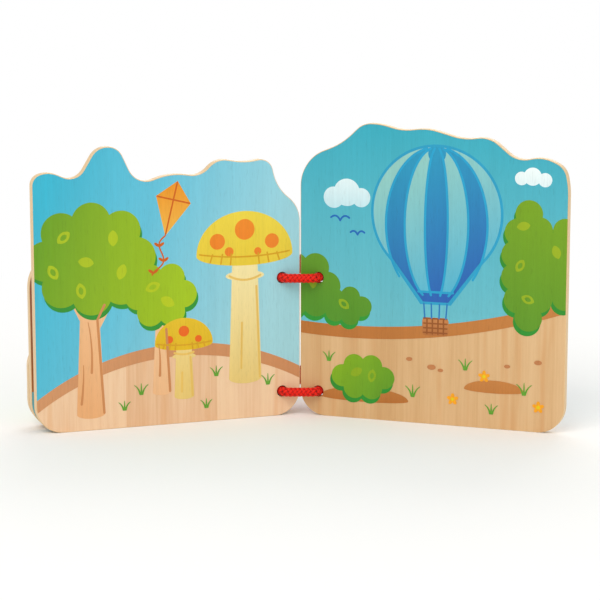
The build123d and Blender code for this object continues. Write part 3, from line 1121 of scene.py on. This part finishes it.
@dataclass
class LineWork:
    """Fine printed lines and small marks of one colour, on one page, over its fields.

    Each mark is a thin closed plate that is sunk a little into the board, so that it lies on bare wood
    and on the ink's film alike.

    Attributes:
        ink: The line ink, whose name is the piece's name.
        slot: The record's material slot that it takes.
        side: The side of its board that the page is on.
        width: How wide a line is.
        sunk: How deep a mark goes below the board's face.
        proud: How far it stands over the film.
        step: How much further each mark stands than the one before, so that none share a plane.
    """

    ink: LineInk
    slot: str
    side: Side
    width: float = 0.9
    sunk: float = 0.1
    proud: float = 0.03
    step: float = 0.002

    def __post_init__(self) -> None:
        """Starts with no marks."""
        self.outlines: list[list[Spot]] = []

    def stroke(self, points: Sequence[Spot], taper: bool = False) -> None:
        """Adds one line with round ends.

        Args:
            points: Where it runs, from the spine edge and up from the foot.
            taper: Whether it thins out to its far end.
        """
        line = np.array(points, float)
        ahead = np.gradient(line, axis=0)
        ahead /= np.linalg.norm(ahead, axis=1)[:, None]
        square = np.stack([-ahead[:, 1], ahead[:, 0]], axis=1)
        half = np.linspace(1.0, 0.3 if taper else 1.0, len(line)) * self.width / 2

        def cap(end: int, sign: int) -> list[Spot]:
            """Rounds an end of the line.

            Args:
                end: The end's place in the line.
                sign: Which way the line runs out there.

            Returns:
                The places between the line's two edges.
            """
            turned = []
            for number in range(1, 6):
                turn = math.pi * number / 6
                turned.append(line[end] + half[end] * (sign * square[end] * math.cos(turn)
                                                       + sign * ahead[end] * math.sin(turn)))
            return [tuple(spot) for spot in turned]

        left = [tuple(spot) for spot in line + square * half[:, None]]
        right = [tuple(spot) for spot in line - square * half[:, None]]
        self.outlines.append(left + cap(-1, 1) + right[::-1] + cap(0, -1))

    def curve(self, start: Spot, pull: Spot, end: Spot, taper: bool = False) -> None:
        """Adds a bent line.

        Args:
            start: Where it starts.
            pull: The place that it bends towards.
            end: Where it ends.
            taper: Whether it thins out to its far end.
        """
        share = np.linspace(0, 1, 12)[:, None]
        before, beside, after = (1 - share) ** 2, 2 * share * (1 - share), share ** 2
        line = before * np.array(start) + beside * np.array(pull) + after * np.array(end)
        self.stroke([tuple(spot) for spot in line], taper)

    def blot(self, centre: Spot, half_wide: float, half_tall: float, turn: float = 0.0) -> None:
        """Adds a filled oval.

        Args:
            centre: Its middle.
            half_wide: Half its width.
            half_tall: Half its height.
            turn: Its turn in degrees.
        """
        angles = np.linspace(0, 2 * math.pi, 24, endpoint=False)
        wide, tall = half_wide * np.cos(angles), half_tall * np.sin(angles)
        cosine, sine = math.cos(math.radians(turn)), math.sin(math.radians(turn))
        self.outlines.append([(centre[0] + x * cosine - z * sine, centre[1] + x * sine + z * cosine)
                              for x, z in zip(wide, tall)])

    def tuft(self, foot: Spot, tall: float) -> None:
        """Adds a tuft of three blades of grass.

        Args:
            foot: Where it grows.
            tall: The height of its middle blade.
        """
        for lean in (-0.55, 0.0, 0.55):
            start = (foot[0] + 1.1 * lean, foot[1])
            pull = (start[0] + 0.25 * lean * tall, foot[1] + 0.6 * tall)
            tip = (start[0] + lean * tall, foot[1] + tall * (1 - 0.25 * abs(lean)))
            self.curve(start, pull, tip, taper=True)

    def build(self) -> None:
        """Makes all the marks as one piece on the board."""
        place = self.ink.wood.grain.place
        low = self.side.value * (HALF_THICK - self.sunk)
        points, faces = [], []
        for number, outline in enumerate(self.outlines):
            high = self.side.value * (HALF_THICK + INK_THICK + self.proud + self.step * number)
            base, count = len(points), len(outline)
            points += [place.point(x, low, z) for x, z in outline]
            points += [place.point(x, high, z) for x, z in outline]
            faces.append(tuple(range(base, base + count)))
            faces.append(tuple(range(base + 2 * count - 1, base + count - 1, -1)))
            for index in range(count):
                nearby = (index + 1) % count
                faces.append((base + nearby, base + index, base + count + index, base + count + nearby))
        piece = mesh_object(self.ink.name, np.array(points), faces)
        tidy = bmesh.new()
        tidy.from_mesh(piece.data)
        bmesh.ops.recalc_face_normals(tidy, faces=tidy.faces)
        tidy.to_mesh(piece.data)
        tidy.free()
        piece.data.materials.append(self.ink.material())
        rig.slot(piece, self.slot)
        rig.ride(piece, place.body)
        log.info("%s: %d marks", piece.name, len(self.outlines))


@dataclass(frozen=True)
class Toadstool:
    """The fine lines of one toadstool.

    Attributes:
        middle: Its middle, from the spine edge.
        foot: The height of its foot.
        cap: The height of the cap's straight edge.
        cap_half: Half the cap's width.
        foot_half: Half the stem's width at its foot.
        top_half: Half the stem's width at the top.
        gill_shares: Where the gills are, as shares of half the cap.
    """

    middle: float
    foot: float
    cap: float
    cap_half: float
    foot_half: float
    top_half: float
    gill_shares: tuple[float, ...] = (-0.72, -0.5, -0.3, 0.3, 0.5, 0.72)

    def draw_gills(self, lines: LineWork) -> None:
        """Draws the gills and the rolled rim under the cap.

        Args:
            lines: The line work that they go into.
        """
        middle, cap, half = self.middle, self.cap, self.cap_half
        for share in self.gill_shares:
            top = (middle + 0.93 * share * half, cap + 0.02 * half)
            end = (middle + share * half, cap - 0.22 * half * math.sqrt(1 - share ** 2) + 0.5)
            lines.stroke([top, end])
        rim = np.linspace(-0.93, 0.93, 25)
        lines.stroke([(middle + x * half, cap + 0.045 * half - 0.09 * half * (1 - x * x)) for x in rim])

    def draw_stem(self, lines: LineWork) -> None:
        """Draws the stem's shaded side, a crease and the ring round its top.

        Args:
            lines: The line work that they go into.
        """
        middle, foot, tall = self.middle, self.foot, self.cap - self.foot
        lean = self.top_half + (self.foot_half - self.top_half) * 0.1
        ring_half, crease = 1.25 * self.top_half, 0.25 * self.foot_half
        lines.stroke([(middle - self.foot_half + 0.9, foot), (middle - lean + 0.8, foot + 0.74 * tall)])
        lines.stroke([(middle + crease, foot + 0.08 * tall), (middle + 0.8 * crease, foot + 0.45 * tall)])
        lines.curve((middle - ring_half, foot + 0.83 * tall), (middle, foot + 0.76 * tall),
                    (middle + ring_half, foot + 0.83 * tall))


@dataclass(frozen=True)
class Kite:
    """The kite's two spars and its tail with bows.

    Attributes:
        centre: Where its spars cross the middle line.
        turn: Its lean, in degrees.
        top: How far the long spar goes above the centre.
        foot: How far it goes below.
        cross: How high the cross spar is.
        cross_half: Half its length.
        tail_start: How far below the centre the tail starts.
        tail_length: How long the tail is.
        tail_sway: How far it sways to each side.
        sway_rate: How fast it sways, in radians a millimetre.
        bows: Where its bows are, down the tail.
        bow_leans: The leans of a bow's two halves, in degrees.
        bow_half: Half the length and half the width of each.
    """

    centre: Spot = (69.6, 113.4)
    turn: float = 14.0
    top: float = 12.4
    foot: float = 15.0
    cross: float = 3.27
    cross_half: float = 8.8
    tail_start: float = 15.5
    tail_length: float = 21.0
    tail_sway: float = 2.2
    sway_rate: float = 0.36
    bows: tuple[float, ...] = (6.0, 13.0, 20.0)
    bow_leans: tuple[float, float] = (35.0, 145.0)
    bow_half: Spot = (1.7, 0.75)

    def at(self, x: float, z: float) -> Spot:
        """Finds a place of the kite on the page.

        Args:
            x: How far it is from the kite's middle line.
            z: How far it is above its centre.

        Returns:
            The place on the page.
        """
        turn = math.radians(self.turn)
        return (self.centre[0] + x * math.cos(turn) - z * math.sin(turn),
                self.centre[1] + x * math.sin(turn) + z * math.cos(turn))

    def tail(self, drop: float) -> Spot:
        """Returns the tail's place at a distance down it."""
        return self.at(self.tail_sway * math.sin(self.sway_rate * drop), -self.tail_start - drop)

    def draw(self, lines: LineWork) -> None:
        """Draws the spars, the tail and its bows.

        Args:
            lines: The line work that they go into.
        """
        lines.stroke([self.at(0, self.top), self.at(0, -self.foot)])
        lines.stroke([self.at(-self.cross_half, self.cross), self.at(self.cross_half, self.cross)])
        lines.stroke([self.tail(drop) for drop in np.linspace(0, self.tail_length, 30)])
        for drop in self.bows:
            centre = self.tail(drop)
            for lean in self.bow_leans:
                aside = 1.5 * math.cos(math.radians(lean))
                lines.blot((centre[0] + aside, centre[1] + 0.9), *self.bow_half, lean)


@dataclass(frozen=True)
class LeftPageLines:
    """The fine lines of the left-hand page: toadstools, trees, kite and grass.

    Attributes:
        wood: The board's finish.
        toadstools: The big and the small toadstool.
        kite: The kite.
        big_edge: The shaded edge of the big tree's trunk.
        big_cracks: The cracks in its bark, each with its start, pull and end.
        small_edge: The shaded edge of the small tree's trunk.
        small_cracks: The cracks in its bark.
        tufts: The grass, each tuft with its foot and its height.
    """

    wood: SandedAlder
    toadstools: tuple[Toadstool, ...] = (
        Toadstool(middle=30.5, foot=21.7, cap=86.7, cap_half=26.3, foot_half=8.9, top_half=6.8),
        Toadstool(middle=63.9, foot=14.5, cap=41.9, cap_half=15.6, foot_half=5.3, top_half=4.1),
    )
    kite: Kite = Kite()
    big_edge: tuple[Spot, ...] = ((106.7, 8.8), (109.6, 57.0), (105.8, 64.5))
    big_cracks: tuple[tuple[Spot, Spot, Spot], ...] = (
        ((113.0, 30.0), (112.0, 44.0), (114.5, 56.0)),
        ((118.5, 14.0), (117.0, 26.0), (117.2, 34.0)),
    )
    small_edge: tuple[Spot, ...] = ((71.6, 17.6), (73.3, 50.0))
    small_cracks: tuple[tuple[Spot, Spot, Spot], ...] = (((77.0, 26.0), (76.4, 36.0), (77.4, 42.0)),)
    tufts: tuple[tuple[Spot, float], ...] = (
        ((18.0, 17.5), 5.5), ((46.5, 24.0), 5.0), ((87.0, 17.0), 5.5), ((96.0, 9.5), 4.5),
        ((52.0, 7.5), 4.5),
    )

    def lines(self, name: str, colour: str, slot: str, width: float) -> LineWork:
        """Returns empty line work of one colour for this page."""
        return LineWork(LineInk(name, self.wood, colour), slot, Side.TOWARDS_Y, width=width)

    def build(self) -> None:
        """Draws the page's line work, one piece for each ink."""
        gills = self.lines("toadstool_gill_lines", "CF9A12", "cap_ink", 0.8)
        stems = self.lines("toadstool_stem_lines", "E0B85C", "cap_ink", 1.1)
        for toadstool in self.toadstools:
            toadstool.draw_gills(gills)
            toadstool.draw_stem(stems)
        gills.build()
        stems.build()

        bark = self.lines("tree_trunk_lines", "C58450", "trunk_ink", 1.3)
        for edge, cracks in ((self.big_edge, self.big_cracks), (self.small_edge, self.small_cracks)):
            bark.stroke(edge)
            for crack in cracks:
                bark.curve(*crack, taper=True)
        bark.build()

        spars = self.lines("kite_lines", "C45A0C", "spot_ink", 0.8)
        self.kite.draw(spars)
        spars.build()

        grass = self.lines("left_grass", GRASS_GREEN, "leaf_ink", 1.0)
        for foot, tall in self.tufts:
            grass.tuft(foot, tall)
        grass.build()


@dataclass(frozen=True)
class Balloon:
    """The fine lines of the balloon: seams, ropes and its basket's weave.

    Attributes:
        middle: Its middle, from the spine edge.
        centre: The height of the envelope's middle.
        radius: The envelope's radius.
        mouth_drop: How far its mouth is below its middle, as a share of the radius.
        gore_drop: How far the gores' middle is below it, as a share of the radius.
        gore_tall: Half the gores' height, as a share of the radius.
        seams: Each run of seams: the gores' half widths as a share of the radius, the angle from the
            crown at which they end, and the number of points along them.
        band_half: Half the length of the line round the mouth.
        band_rise: How high it is above the mouth.
        ropes: Each rope's place at its top and at its foot, from the middle.
        rope_drops: How far below the mouth the ropes start and end.
        weave_drops: How far below the mouth the weave's level lines are.
        weave_half: Half their length.
        weave_places: Where its upright lines are, from the middle.
        weave_reach: How far below the mouth they start and end.
    """

    middle: float = 73.8
    centre: float = 109.8
    radius: float = 33.65
    mouth_drop: float = 1.36
    gore_drop: float = 0.18
    gore_tall: float = 1.18
    seams: tuple[tuple[tuple[float, ...], float, int], ...] = (
        ((-0.5, -0.18, 0.18, 0.5), 2.72, 40), ((-0.8, 0.8), 2.33, 36),
    )
    band_half: float = 9.2
    band_rise: float = 5.1
    ropes: tuple[Spot, ...] = ((-6.2, -5.6), (-2.2, -2.0), (2.2, 2.0), (6.2, 5.6))
    rope_drops: Spot = (1.0, 8.4)
    weave_drops: tuple[float, ...] = (8.6, 11.2, 13.6, 16.0)
    weave_half: float = 6.2
    weave_places: tuple[float, ...] = (-4.4, -1.5, 1.5, 4.4)
    weave_reach: Spot = (9.0, 16.6)

    def at(self, aside: float, drop: float) -> Spot:
        """Returns a place of the page from its distance aside and below the mouth."""
        return (self.middle + aside, self.centre - self.mouth_drop * self.radius - drop)

    def draw_seams(self, lines: LineWork) -> None:
        """Draws the seams between the gores and the line round the mouth.

        Args:
            lines: The line work that they go into.
        """
        for shares, last, count in self.seams:
            for share in shares:
                wide, tall = share * self.radius, self.gore_tall * self.radius
                level = self.centre - self.gore_drop * self.radius
                lines.stroke([(self.middle + wide * math.sin(turn), level + tall * math.cos(turn))
                              for turn in np.linspace(0.2, last, count)])
        lines.stroke([self.at(-self.band_half, -self.band_rise), self.at(self.band_half, -self.band_rise)])

    def draw_ropes(self, lines: LineWork) -> None:
        """Draws the ropes from the mouth to the basket.

        Args:
            lines: The line work that they go into.
        """
        high, low = self.rope_drops
        for top, foot in self.ropes:
            lines.stroke([self.at(top, high), self.at(foot, low)])

    def draw_weave(self, lines: LineWork) -> None:
        """Draws the basket's weave.

        Args:
            lines: The line work that they go into.
        """
        for drop in self.weave_drops:
            lines.stroke([self.at(-self.weave_half, drop), self.at(self.weave_half, drop)])
        for aside in self.weave_places:
            lines.stroke([self.at(aside, drop) for drop in self.weave_reach])


@dataclass(frozen=True)
class RightPageLines:
    """The fine lines of the right-hand page: balloon, birds, grass, flowers and pebbles.

    Attributes:
        wood: The board's finish.
        balloon: The balloon.
        birds: Each bird's place and the length of its wing.
        tufts: The grass, each tuft with its foot and its height.
        pebbles: Each pebble's place and half its width.
        flowers: The flowers' places.
        petals: How many petals each has.
        petal_reach: How far a petal's middle is from the flower's.
        petal_half: Half a petal's length and half its width.
        heart: The radius of a flower's heart.
    """

    wood: SandedAlder
    balloon: Balloon = Balloon()
    birds: tuple[tuple[float, float, float], ...] = ((22.0, 104.0, 5.0), (31.5, 97.0, 3.8))
    tufts: tuple[tuple[Spot, float], ...] = (
        ((62.0, 14.0), 6.0), ((90.0, 30.0), 5.5), ((121.0, 19.0), 6.0), ((104.0, 8.0), 5.0),
        ((16.0, 30.0), 5.0),
    )
    pebbles: tuple[tuple[float, float, float], ...] = (
        (72.0, 30.0, 2.3), (76.8, 28.6, 1.5), (128.0, 36.0, 2.0), (112.0, 33.0, 1.6), (60.0, 33.5, 1.7),
    )
    flowers: tuple[Spot, ...] = ((100.0, 27.0), (83.5, 14.0), (128.5, 13.0))
    petals: int = 5
    petal_reach: float = 1.7
    petal_half: Spot = (1.45, 0.95)
    heart: float = 0.95

    def lines(self, name: str, colour: str, slot: str, **sizes: float) -> LineWork:
        """Returns empty line work of one colour for this page."""
        return LineWork(LineInk(name, self.wood, colour), slot, Side.AGAINST_Y, **sizes)

    def build(self) -> None:
        """Draws the page's line work, one piece for each ink."""
        seams = self.lines("balloon_seam_lines", "149AC4", "balloon_line_ink", width=1.2)
        self.balloon.draw_seams(seams)
        seams.build()
        ropes = self.lines("balloon_ropes", "1E74B4", "panel_ink", width=0.8)
        self.balloon.draw_ropes(ropes)
        ropes.build()
        weave = self.lines("basket_weave", "8E4F22", "earth_ink", width=0.8)
        self.balloon.draw_weave(weave)
        weave.build()

        birds = self.lines("bird_lines", "0E62AE", "panel_ink", width=1.0)
        for x, z, wing in self.birds:
            for way in (-1, 1):
                tip = (x + way * wing, z + 0.3 * wing)
                birds.curve(tip, (x + 0.4 * way * wing, z + 0.8 * wing), (x, z))
        birds.build()

        grass = self.lines("right_grass", GRASS_GREEN, "leaf_ink", width=1.0)
        for foot, tall in self.tufts:
            grass.tuft(foot, tall)
        grass.build()

        pebbles = self.lines("pebbles", "B9794A", "earth_ink")
        for x, z, half in self.pebbles:
            pebbles.blot((x, z), half, 0.6 * half)
        pebbles.build()
        self.plant_flowers()

    def plant_flowers(self) -> None:
        """Draws the flowers' petals, and their hearts a little higher."""
        petals = self.lines("flower_petals", "F0A01C", "spot_ink")
        hearts = self.lines("flower_hearts", "E2C410", "cap_ink", proud=0.06)
        for x, z in self.flowers:
            for number in range(self.petals):
                turn = 360 / self.petals * number + 18
                reach = (x + self.petal_reach * math.cos(math.radians(turn)),
                         z + self.petal_reach * math.sin(math.radians(turn)))
                petals.blot(reach, *self.petal_half, turn)
            hearts.blot((x, z), self.heart, self.heart)
        petals.build()
        hearts.build()


# Studio


@dataclass(frozen=True)
class Softbox:
    """One square soft lamp that looks at the book.

    Attributes:
        name: Its name.
        place: Where it hangs.
        size: The length of its sides.
        power: Its power in watts.
        aim: The place that it looks at.
    """

    name: str
    place: tuple[float, float, float]
    size: float
    power: float
    aim: tuple[float, float, float] = (0.0, 0.0, 70.0)

    def hang(self) -> None:
        """Hangs the lamp."""
        light = bpy.data.lights.new(self.name, "AREA")
        light.shape = "SQUARE"
        light.size = self.size * MM
        light.energy = self.power
        lamp = bpy.data.objects.new(self.name, light)
        lamp.location = Vector(self.place) * MM
        look = Vector(self.aim) * MM - lamp.location
        lamp.rotation_euler = look.to_track_quat("-Z", "Y").to_euler()
        bpy.context.scene.collection.objects.link(lamp)


@dataclass(frozen=True)
class Studio:
    """Pale floor that fades into white, soft lamps and the camera.

    Attributes:
        lamps: The soft lamps.
        floor_near: The floor's colour under the book.
        radius: The floor's radius.
        sides: The number of its sides.
        fade: The distances from the book between which the floor fades to white.
        air: How strongly the room lights the book.
        camera_off: The camera's place, from the left page's front spine edge at the floor.
        camera_pitch: How far the camera looks down, in degrees.
        camera_yaw: How far it looks to the left.
        lens: The lens's focal length.
        clip: The nearest and the farthest distance that the camera sees.
    """

    lamps: tuple[Softbox, ...] = (
        Softbox("key_softbox", (-520.0, -1150.0, 1250.0), size=1000.0, power=11.2),
        Softbox("fill_softbox", (1000.0, -1100.0, 700.0), size=1200.0, power=4.0),
        Softbox("rear_softbox", (200.0, 1300.0, 900.0), size=1200.0, power=7.0),
    )
    floor_near: str = "F7F6F3"
    radius: float = 4000.0
    sides: int = 96
    fade: tuple[float, float] = (140.0, 560.0)
    air: float = 0.69
    camera_off: tuple[float, float, float] = (-2.3, -1031.0, 226.7)
    camera_pitch: float = 9.13
    camera_yaw: float = -0.13
    lens: float = 119.3
    clip: tuple[float, float] = (50.0, 20000.0)

    def build(self, spine_edge: Vector) -> None:
        """Makes the floor, the lamps, the room and the camera.

        Args:
            spine_edge: The left page's front spine edge at the floor.
        """
        turns = [2 * math.pi * number / self.sides for number in range(self.sides)]
        rim = [(self.radius * math.cos(turn), self.radius * math.sin(turn), 0.0) for turn in turns]
        floor = mesh_object("studio_floor", np.array(rim), [range(self.sides)])
        floor.data.materials.append(self.paper())
        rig.stage(floor)
        for lamp in self.lamps:
            lamp.hang()
        self.room()
        lens = bpy.data.cameras.new("photo_camera")
        lens.lens = self.lens
        lens.clip_start, lens.clip_end = (distance * MM for distance in self.clip)
        camera = bpy.data.objects.new("photo_camera", lens)
        camera.location = (spine_edge + Vector(self.camera_off)) * MM
        camera.rotation_euler = (math.radians(90 - self.camera_pitch), 0.0, math.radians(self.camera_yaw))
        bpy.context.scene.collection.objects.link(camera)
        bpy.context.scene.camera = camera
        log.info("the studio has its floor, its camera and %d lamps", len(self.lamps))

    def seen(self, tree: Tree) -> Socket:
        """Tells what is seen from what only lights.

        Args:
            tree: The node tree that gets the nodes.

        Returns:
            A socket that is 1 where the camera looks, straight, in a reflection or through glass.
        """
        camera = add(tree, "LightPath", out="Is Camera Ray")
        outputs = camera.node.outputs
        seen = add(tree, "Math", {0: camera, 1: outputs["Is Glossy Ray"]}, operation="ADD")
        return add(tree, "Math", {0: seen, 1: outputs["Is Transmission Ray"]}, operation="ADD",
                   use_clamp=True)

    def room(self) -> None:
        """Makes the room's light: white where it is seen and softer where it lights."""
        world = bpy.data.worlds.new("studio_air")
        world.use_nodes = True
        tree = world.node_tree
        background = tree.nodes["Background"]
        background.inputs["Color"].default_value = linear("FFFFFF")
        strength = add(tree, "MapRange", {0: self.seen(tree), 3: self.air, 4: 1.0})
        tree.links.new(strength, background.inputs["Strength"])
        bpy.context.scene.world = world

    def paper(self) -> bpy.types.Material:
        """Builds the floor's matt white paper, which is plain white far from the book.

        Returns:
            The material.
        """
        material, tree, shader = new_material("white_studio_paper")
        place = add(tree, "TexCoord", out="Object")
        far = add(tree, "VectorMath", {0: place}, out="Value", operation="LENGTH")
        low, high = self.fade
        fade = add(tree, "MapRange", {0: far, 1: low * MM, 2: high * MM}, interpolation_type="SMOOTHSTEP")
        bright = add(tree, "Math", {0: fade, 1: self.seen(tree)}, operation="MULTIPLY")
        shader.inputs["Base Color"].default_value = linear(self.floor_near)
        shader.inputs["Roughness"].default_value = 0.85
        shader.inputs["Specular IOR Level"].default_value = 0.1
        white = add(tree, "Emission", {"Color": linear("FFFFFF"), "Strength": 1.0})
        mixed = add(tree, "MixShader", {0: bright, 1: shader.outputs[0], 2: white})
        tree.links.new(mixed, tree.nodes["Material Output"].inputs["Surface"])
        return material


# The book


@dataclass(frozen=True)
class PrintedPages:
    """The fields of print on all the boards' sides.

    Attributes:
        woods: The boards' finishes by body name.
        outer: Where a board-wide blend starts, near the outer top corner.
        inner: Where it ends, near the spine.
        sky: The shades of the sky.
        earth: The shades of bare earth.
        leaf: The shades of the trees' leaves.
        rim: The shades of the dark rims round leaves.
        mark: The shades of the single leaves.
    """

    woods: dict[str, SandedAlder]
    outer: Spot = (142.0, 104.0)
    inner: Spot = (18.0, 56.0)
    sky: Stops = ((0.0, "1CABC6"), (0.42, "57B8D1"), (1.0, "98CCD5"))
    earth: Stops = ((0.0, "B06A2D"), (1.0, "BE7A3C"))
    leaf: Stops = ((0.0, "5A930A"), (0.45, "7FA806"), (1.0, "9ABC04"))
    rim: Stops = ((0.0, "108426"), (1.0, "148E2C"))
    mark: Stops = ((0.0, "9CB404"), (1.0, "AFC202"))

    def dress(self) -> None:
        """Gives every field of print its ink."""
        self.dress_left_leaf()
        self.dress_back_cover()
        self.dress_hidden_sides()

    def dress_left_leaf(self) -> None:
        """Prints the left-hand page, and sky and hill behind it."""
        Page(self.woods["left_leaf"], {
            "left_sky": (self.sky, self.outer, self.inner),
            "tree_crowns": (self.leaf, (142.0, 90.0), (60.0, 72.0)),
            "tree_crown_rims": (self.rim, (138.0, 90.0), (60.0, 50.0)),
            "tree_leaf_marks": (self.mark, (138.0, 90.0), (60.0, 70.0)),
            "tree_trunks": ([(0.0, "E0A56F"), (1.0, "ECC093")], (122.0, 20.0), (70.0, 60.0)),
            "kite": ([(0.0, "E8AE40"), (1.0, "DE8804")], (71.0, 98.0), (71.0, 126.0)),
            "toadstool_caps": ([(0.0, "D8AE02"), (1.0, "E4CC3C")], (31.0, 36.0), (31.0, 112.0)),
            "toadstool_stems": ([(0.0, "DFC06E"), (1.0, "EEDFA4")], (38.0, 15.0), (22.0, 90.0)),
            "toadstool_spots": ([(0.0, "DE5A02"), (1.0, "E68414")], (31.0, 40.0), (31.0, 110.0)),
            "left_hill_edge": ([(0.0, "C98F62"), (1.0, "C48556")], self.outer, self.inner),
            "left_back_sky": (self.sky, (10.0, 130.0), (120.0, 40.0)),
            "left_back_hill_edge": (self.earth, self.outer, self.inner),
        }).dress()

    def dress_back_cover(self) -> None:
        """Prints the right-hand page, and sky and hill on the book's outside."""
        Page(self.woods["back_cover"], {
            "right_sky": ([(0.0, "22A4B8"), (1.0, "5FB6C4")], (60.0, 154.0), (60.0, 55.0)),
            "hedge_and_bushes": ([(0.0, "6F9C10"), (1.0, "478A1E")], (80.0, 130.0), (60.0, 45.0)),
            "hedge_rims": (self.rim, (90.0, 110.0), (60.0, 50.0)),
            "bush_leaf_marks": ([(0.0, "90AA10"), (1.0, "84A60E")], (90.0, 110.0), (60.0, 50.0)),
            "small_bush": ([(0.0, "7AA80E"), (1.0, "4A8E1E")], (30.0, 42.0), (60.0, 12.0)),
            "small_bush_rim": (self.rim, (30.0, 38.0), (60.0, 12.0)),
            "balloon_envelope": ([(0.0, "8CC4BA"), (1.0, "3CACCC")], (55.0, 140.0), (90.0, 65.0)),
            "balloon_rim": ([(0.0, "0696BC"), (1.0, "0A9AC2")], (55.0, 140.0), (90.0, 65.0)),
            "balloon_panels": ([(0.0, "0294B8"), (1.0, "0256AC")], (60.0, 145.0), (88.0, 66.0)),
            "balloon_basket": ([(0.0, "C07D47"), (1.0, "A9642F")], (75.0, 56.0), (75.0, 46.0)),
            "clouds": ([(0.0, "E8F3F2"), (1.0, "B9DCE4")], (70.0, 134.0), (70.0, 110.0)),
            "earth_mounds": (self.earth, (80.0, 10.0), (80.0, 24.0)),
            "right_hill_edge": (self.earth, (0.0, 40.0), (140.0, 60.0)),
            "back_outside_sky": (self.sky, (10.0, 140.0), (120.0, 40.0)),
            "back_outside_hill_edge": (self.earth, self.outer, self.inner),
        }).dress()

    def dress_hidden_sides(self) -> None:
        """Prints both sides of the two boards behind the left page."""
        Page(self.woods["middle_leaf"], {
            "middle_earth": ([(0.0, "9C5A50"), (1.0, "B06C38")], (60.0, 110.0), (60.0, 20.0)),
            "middle_pool": ([(0.0, "3CA6BC"), (1.0, "58B4C2")], (20.0, 20.0), (140.0, 0.0)),
            "middle_back_sky": (self.sky, (10.0, 110.0), (120.0, 30.0)),
            "middle_back_hill_edge": (self.earth, self.outer, self.inner),
        }).dress()
        Page(self.woods["front_cover"], {
            "cover_inside_sky": (self.sky, (10.0, 90.0), (120.0, 20.0)),
            "cover_inside_hill_edge": (self.earth, self.outer, self.inner),
            "cover_meadow": ([(0.0, "55902A"), (1.0, "A0C414")], (10.0, 90.0), (130.0, 20.0)),
            "cover_hill_edge": (self.earth, self.outer, self.inner),
        }).dress()


def write_sizes() -> None:
    """Writes the CAD model's box and the dressed book's box."""
    low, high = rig.bounds()
    with open("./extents.json", "w") as out:
        json.dump({"cad": [list(cad_low), list(cad_high)], "visual": [list(low), list(high)]}, out)


def main() -> None:
    """Builds the studio, dresses the boards and their print, and braids and ties the cords."""
    logging.basicConfig(level=logging.INFO, format="%(message)s")
    bpy.context.scene.view_settings.view_transform = "Standard"
    places = book_places()
    Studio().build(places["left_leaf"].point(0.0, HALF_THICK))

    woods = {
        "left_leaf": SandedAlder(Grain(places["left_leaf"], seams=(46.0, 95.0), start=3.0),
                                 pale="EECDA4", mid="E6C099", dark="D8A87C", warm="DAA06A"),
        "middle_leaf": SandedAlder(Grain(places["middle_leaf"], seams=(38.0, 88.0), start=11.0),
                                   pale="EEC99C", mid="E4B888", dark="D29E6C", warm="D6985C"),
        "front_cover": SandedAlder(Grain(places["front_cover"], seams=(52.0, 101.0), start=17.0),
                                   pale="EDC698", mid="E2B583", dark="D09A66", warm="D3945A"),
        "back_cover": SandedAlder(Grain(places["back_cover"], seams=(49.5, 97.0), start=23.0),
                                  pale="DEB989", mid="D3AA78", dark="C4955F", warm="C98B4C",
                                  knot=(131.0, 74.5)),
    }
    for node, wood in woods.items():
        dress(node, wood.material())
    PrintedPages(woods).dress()
    LeftPageLines(woods["left_leaf"]).build()
    RightPageLines(woods["back_cover"]).build()

    polyester = BraidedPolyester()
    yarn, sealed = polyester.material(), polyester.sealed()
    for name, height in (("upper_cord", UPPER_HOLE), ("lower_cord", LOWER_HOLE)):
        LacingCord(name, height, places, yarn, sealed).build()
    write_sizes()


if __name__ == "__main__":
    main()
